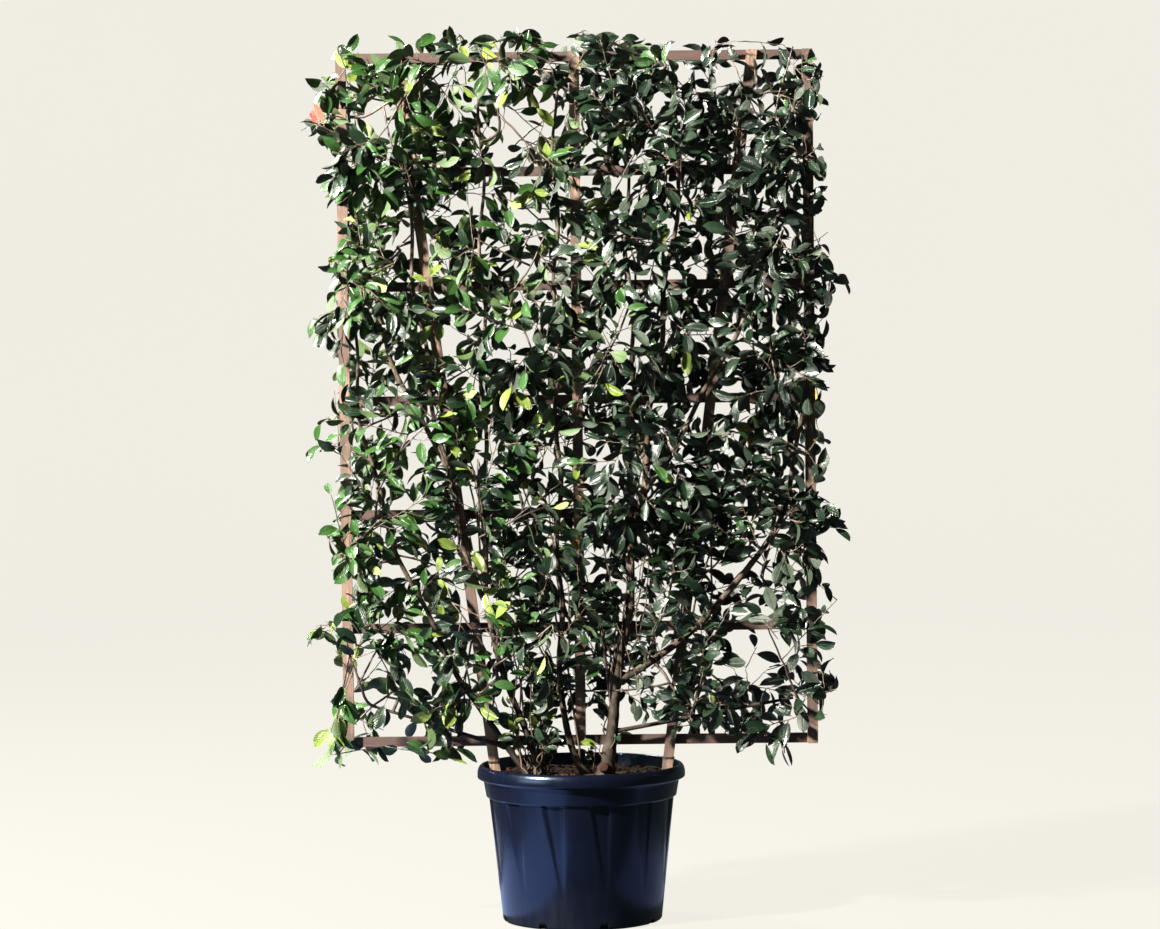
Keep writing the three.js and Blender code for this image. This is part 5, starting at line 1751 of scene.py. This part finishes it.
def leaf_form(fold, droop, twist):
    """One leaf a unit long as a closed mesh: upper and lower skins that meet at its outline."""
    blade = bmesh.new()
    uv = blade.loops.layers.uv.verify()
    bmesh.ops.create_grid(blade, x_segments=LEAF_COLUMNS, y_segments=LEAF_ROWS, size=0.5, calc_uvs=True)
    for vertex in blade.verts:
        share = vertex.co.y + 0.5
        across = vertex.co.x * 2 * leaf_width(share)
        turned = twist * share
        lift = abs(across) * fold
        vertex.co = (across * math.cos(turned) - lift * math.sin(turned), share,
                     across * math.sin(turned) + lift * math.cos(turned) - droop * share * share)
    under = bmesh.ops.duplicate(blade, geom=blade.verts[:] + blade.edges[:] + blade.faces[:])["geom"]
    lower = [f for f in under if isinstance(f, bmesh.types.BMFace)]
    bmesh.ops.reverse_faces(blade, faces=lower)
    for face in lower:
        for loop in face.loops:
            loop[uv].uv.y += 2
    for vertex in (v for v in under if isinstance(v, bmesh.types.BMVert)):
        if not vertex.is_boundary:
            vertex.co.z -= LEAF_LENS
    bmesh.ops.remove_doubles(blade, verts=blade.verts, dist=1e-5)
    bmesh.ops.recalc_face_normals(blade, faces=blade.faces)
    for edge in blade.edges:
        sides = {loop[uv].uv.y > 1.5 for face in edge.link_faces for loop in face.loops}
        edge.smooth = len(sides) == 1
    made = bpy.data.meshes.new("leaf_form")
    blade.to_mesh(made)
    blade.free()
    corners = [0.0] * len(made.vertices) * 3
    made.vertices.foreach_get("co", corners)
    return made, corners


leaf_forms = [leaf_form(*form) for form in LEAF_FORMS]


def leaf_finish(name, deep, fresh, under, vein):
    finish = Finish(name, Specular_IOR_Level=0.62)
    across = finish.node("SeparateXYZ", {}, {"Vector": finish.node("UVMap")}, 0)
    along = finish.node("SeparateXYZ", {}, {"Vector": finish.node("UVMap")}, 1)
    off_rib = abs(across - 0.5)
    rib = finish.steps(off_rib, (0.0, 1), (0.05, 0))
    branch = abs(((along - off_rib * 0.55) * 9) % 1 - 0.5)
    branches = finish.steps(branch, (0.0, 1), (0.16, 0)) * 0.5
    lines = finish.node("Math", {"operation": "MAXIMUM"}, {0: rib, 1: branches})
    back = along > 1.5
    blotch = finish.grain(55, 3)
    upper = finish.mix(blotch, deep, fresh)
    veined = finish.mix(lines * 0.5, upper, vein)
    skin = finish.mix(back, veined, under)
    return finish.cover(
        Base_Color=skin,
        Roughness=0.25 + back * 0.28 + blotch * 0.14,
        Normal=finish.bump(lines * -0.6 + blotch * 1.2, 0.002, 0.8),
    )


TINTS = {
    # A shaded copy of the deep green: painted shade, dealt out towards the right.
    "dark": leaf_finish("leaf_shaded_dark_green", (0.002, 0.0068, 0.0032, 1), (0.0044, 0.0143, 0.0064, 1),
                        (0.01, 0.019, 0.0098, 1), (0.016, 0.028, 0.014, 1)),
    "deep": leaf_finish("leaf_deep_green", (0.0033, 0.011, 0.0042, 1), (0.0076, 0.0245, 0.0088, 1),
                        (0.0155, 0.029, 0.0135, 1), (0.024, 0.042, 0.022, 1)),
    "green": leaf_finish("leaf_green", (0.0105, 0.038, 0.0068, 1), (0.0245, 0.08, 0.0118, 1),
                         (0.045, 0.08, 0.023, 1), (0.06, 0.11, 0.034, 1)),
    # Partly the lime of new leaves and partly a painted glow of backlit leaves.
    "lime": leaf_finish("leaf_lime_and_backlit", (0.072, 0.11, 0.012, 1), (0.14, 0.19, 0.028, 1),
                        (0.14, 0.19, 0.045, 1), (0.18, 0.25, 0.065, 1)),
    "bronze": leaf_finish("leaf_bronze", (0.06, 0.01, 0.008, 1), (0.17, 0.028, 0.016, 1),
                          (0.22, 0.08, 0.05, 1), (0.24, 0.07, 0.04, 1)),
    "amber": leaf_finish("leaf_amber", (0.2, 0.12, 0.018, 1), (0.34, 0.22, 0.035, 1),
                         (0.34, 0.26, 0.09, 1), (0.42, 0.3, 0.1, 1)),
}
leaf_bunches = {}
for spray in sprays:
    end = spray["line"][-1].y
    depth = "front" if end < FRONT_FROM else "back" if end > BACK_FROM else "middle"
    for leaf in spray["leaves"]:
        tint = leaf["tint"]
        bunch = f"leaves_{tint}_{depth}" if tint in PLAIN_TINTS else f"leaves_{tint}"
        leaf_bunches.setdefault(bunch, (tint, []))[1].append(leaf)
foliage_nodes = {"front": [], "back": []}
for place in PLACES:
    foliage_nodes[place["layer"]["name"]].append(place["name"])
for name, (tint, leaves) in leaf_bunches.items():
    heap = bmesh.new()
    for leaf in leaves:
        mesh, corners = leaf_forms[leaf["form"]]
        mesh.vertices.foreach_set("co", corners)
        mesh.transform(leaf["spot"])
        heap.from_mesh(mesh)
    piece = settle(name, heap, TINTS[tint])
    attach(piece, "root")
    if name == "leaves_deep_front":
        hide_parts(*foliage_nodes["front"])
    if name == "leaves_deep_back":
        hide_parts(*foliage_nodes["back"])

stalk_finish = Finish("leaf_stalks", Roughness=0.45)
stalk_tone = stalk_finish.grain(40, 2)
stalk_material = stalk_finish.cover(
    Base_Color=stalk_finish.mix(stalk_tone, (0.1, 0.13, 0.03, 1), (0.17, 0.055, 0.028, 1)))
stalks = bmesh.new()
stalk_form = bmesh.new()
STALK_ENDS = (0.1, 0.08)
STALK_OVER = 1.3
bmesh.ops.create_cone(stalk_form, cap_ends=True, segments=3, radius1=STALK_ENDS[0],
                      radius2=STALK_ENDS[1], depth=STALK_OVER)
stalk_mesh = bpy.data.meshes.new("stalk")
stalk_form.to_mesh(stalk_mesh)
stalk_form.free()
stalk_corners = [0.0] * len(stalk_mesh.vertices) * 3
stalk_mesh.vertices.foreach_get("co", stalk_corners)
for leaf in (leaf for spray in sprays for leaf in spray["leaves"]):
    root, foot = leaf["root"], leaf["foot"]
    turned = (foot - root).to_track_quat("Z", "Y").to_matrix().to_4x4()
    spot = Matrix.Translation((root + foot) / 2 * MM) @ turned @ Matrix.Scale(STALK * MM, 4)
    stalk_mesh.vertices.foreach_set("co", stalk_corners)
    stalk_mesh.transform(spot)
    stalks.from_mesh(stalk_mesh)
stalk_piece = settle("leaf_stalks", stalks, stalk_material)
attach(stalk_piece, "root")
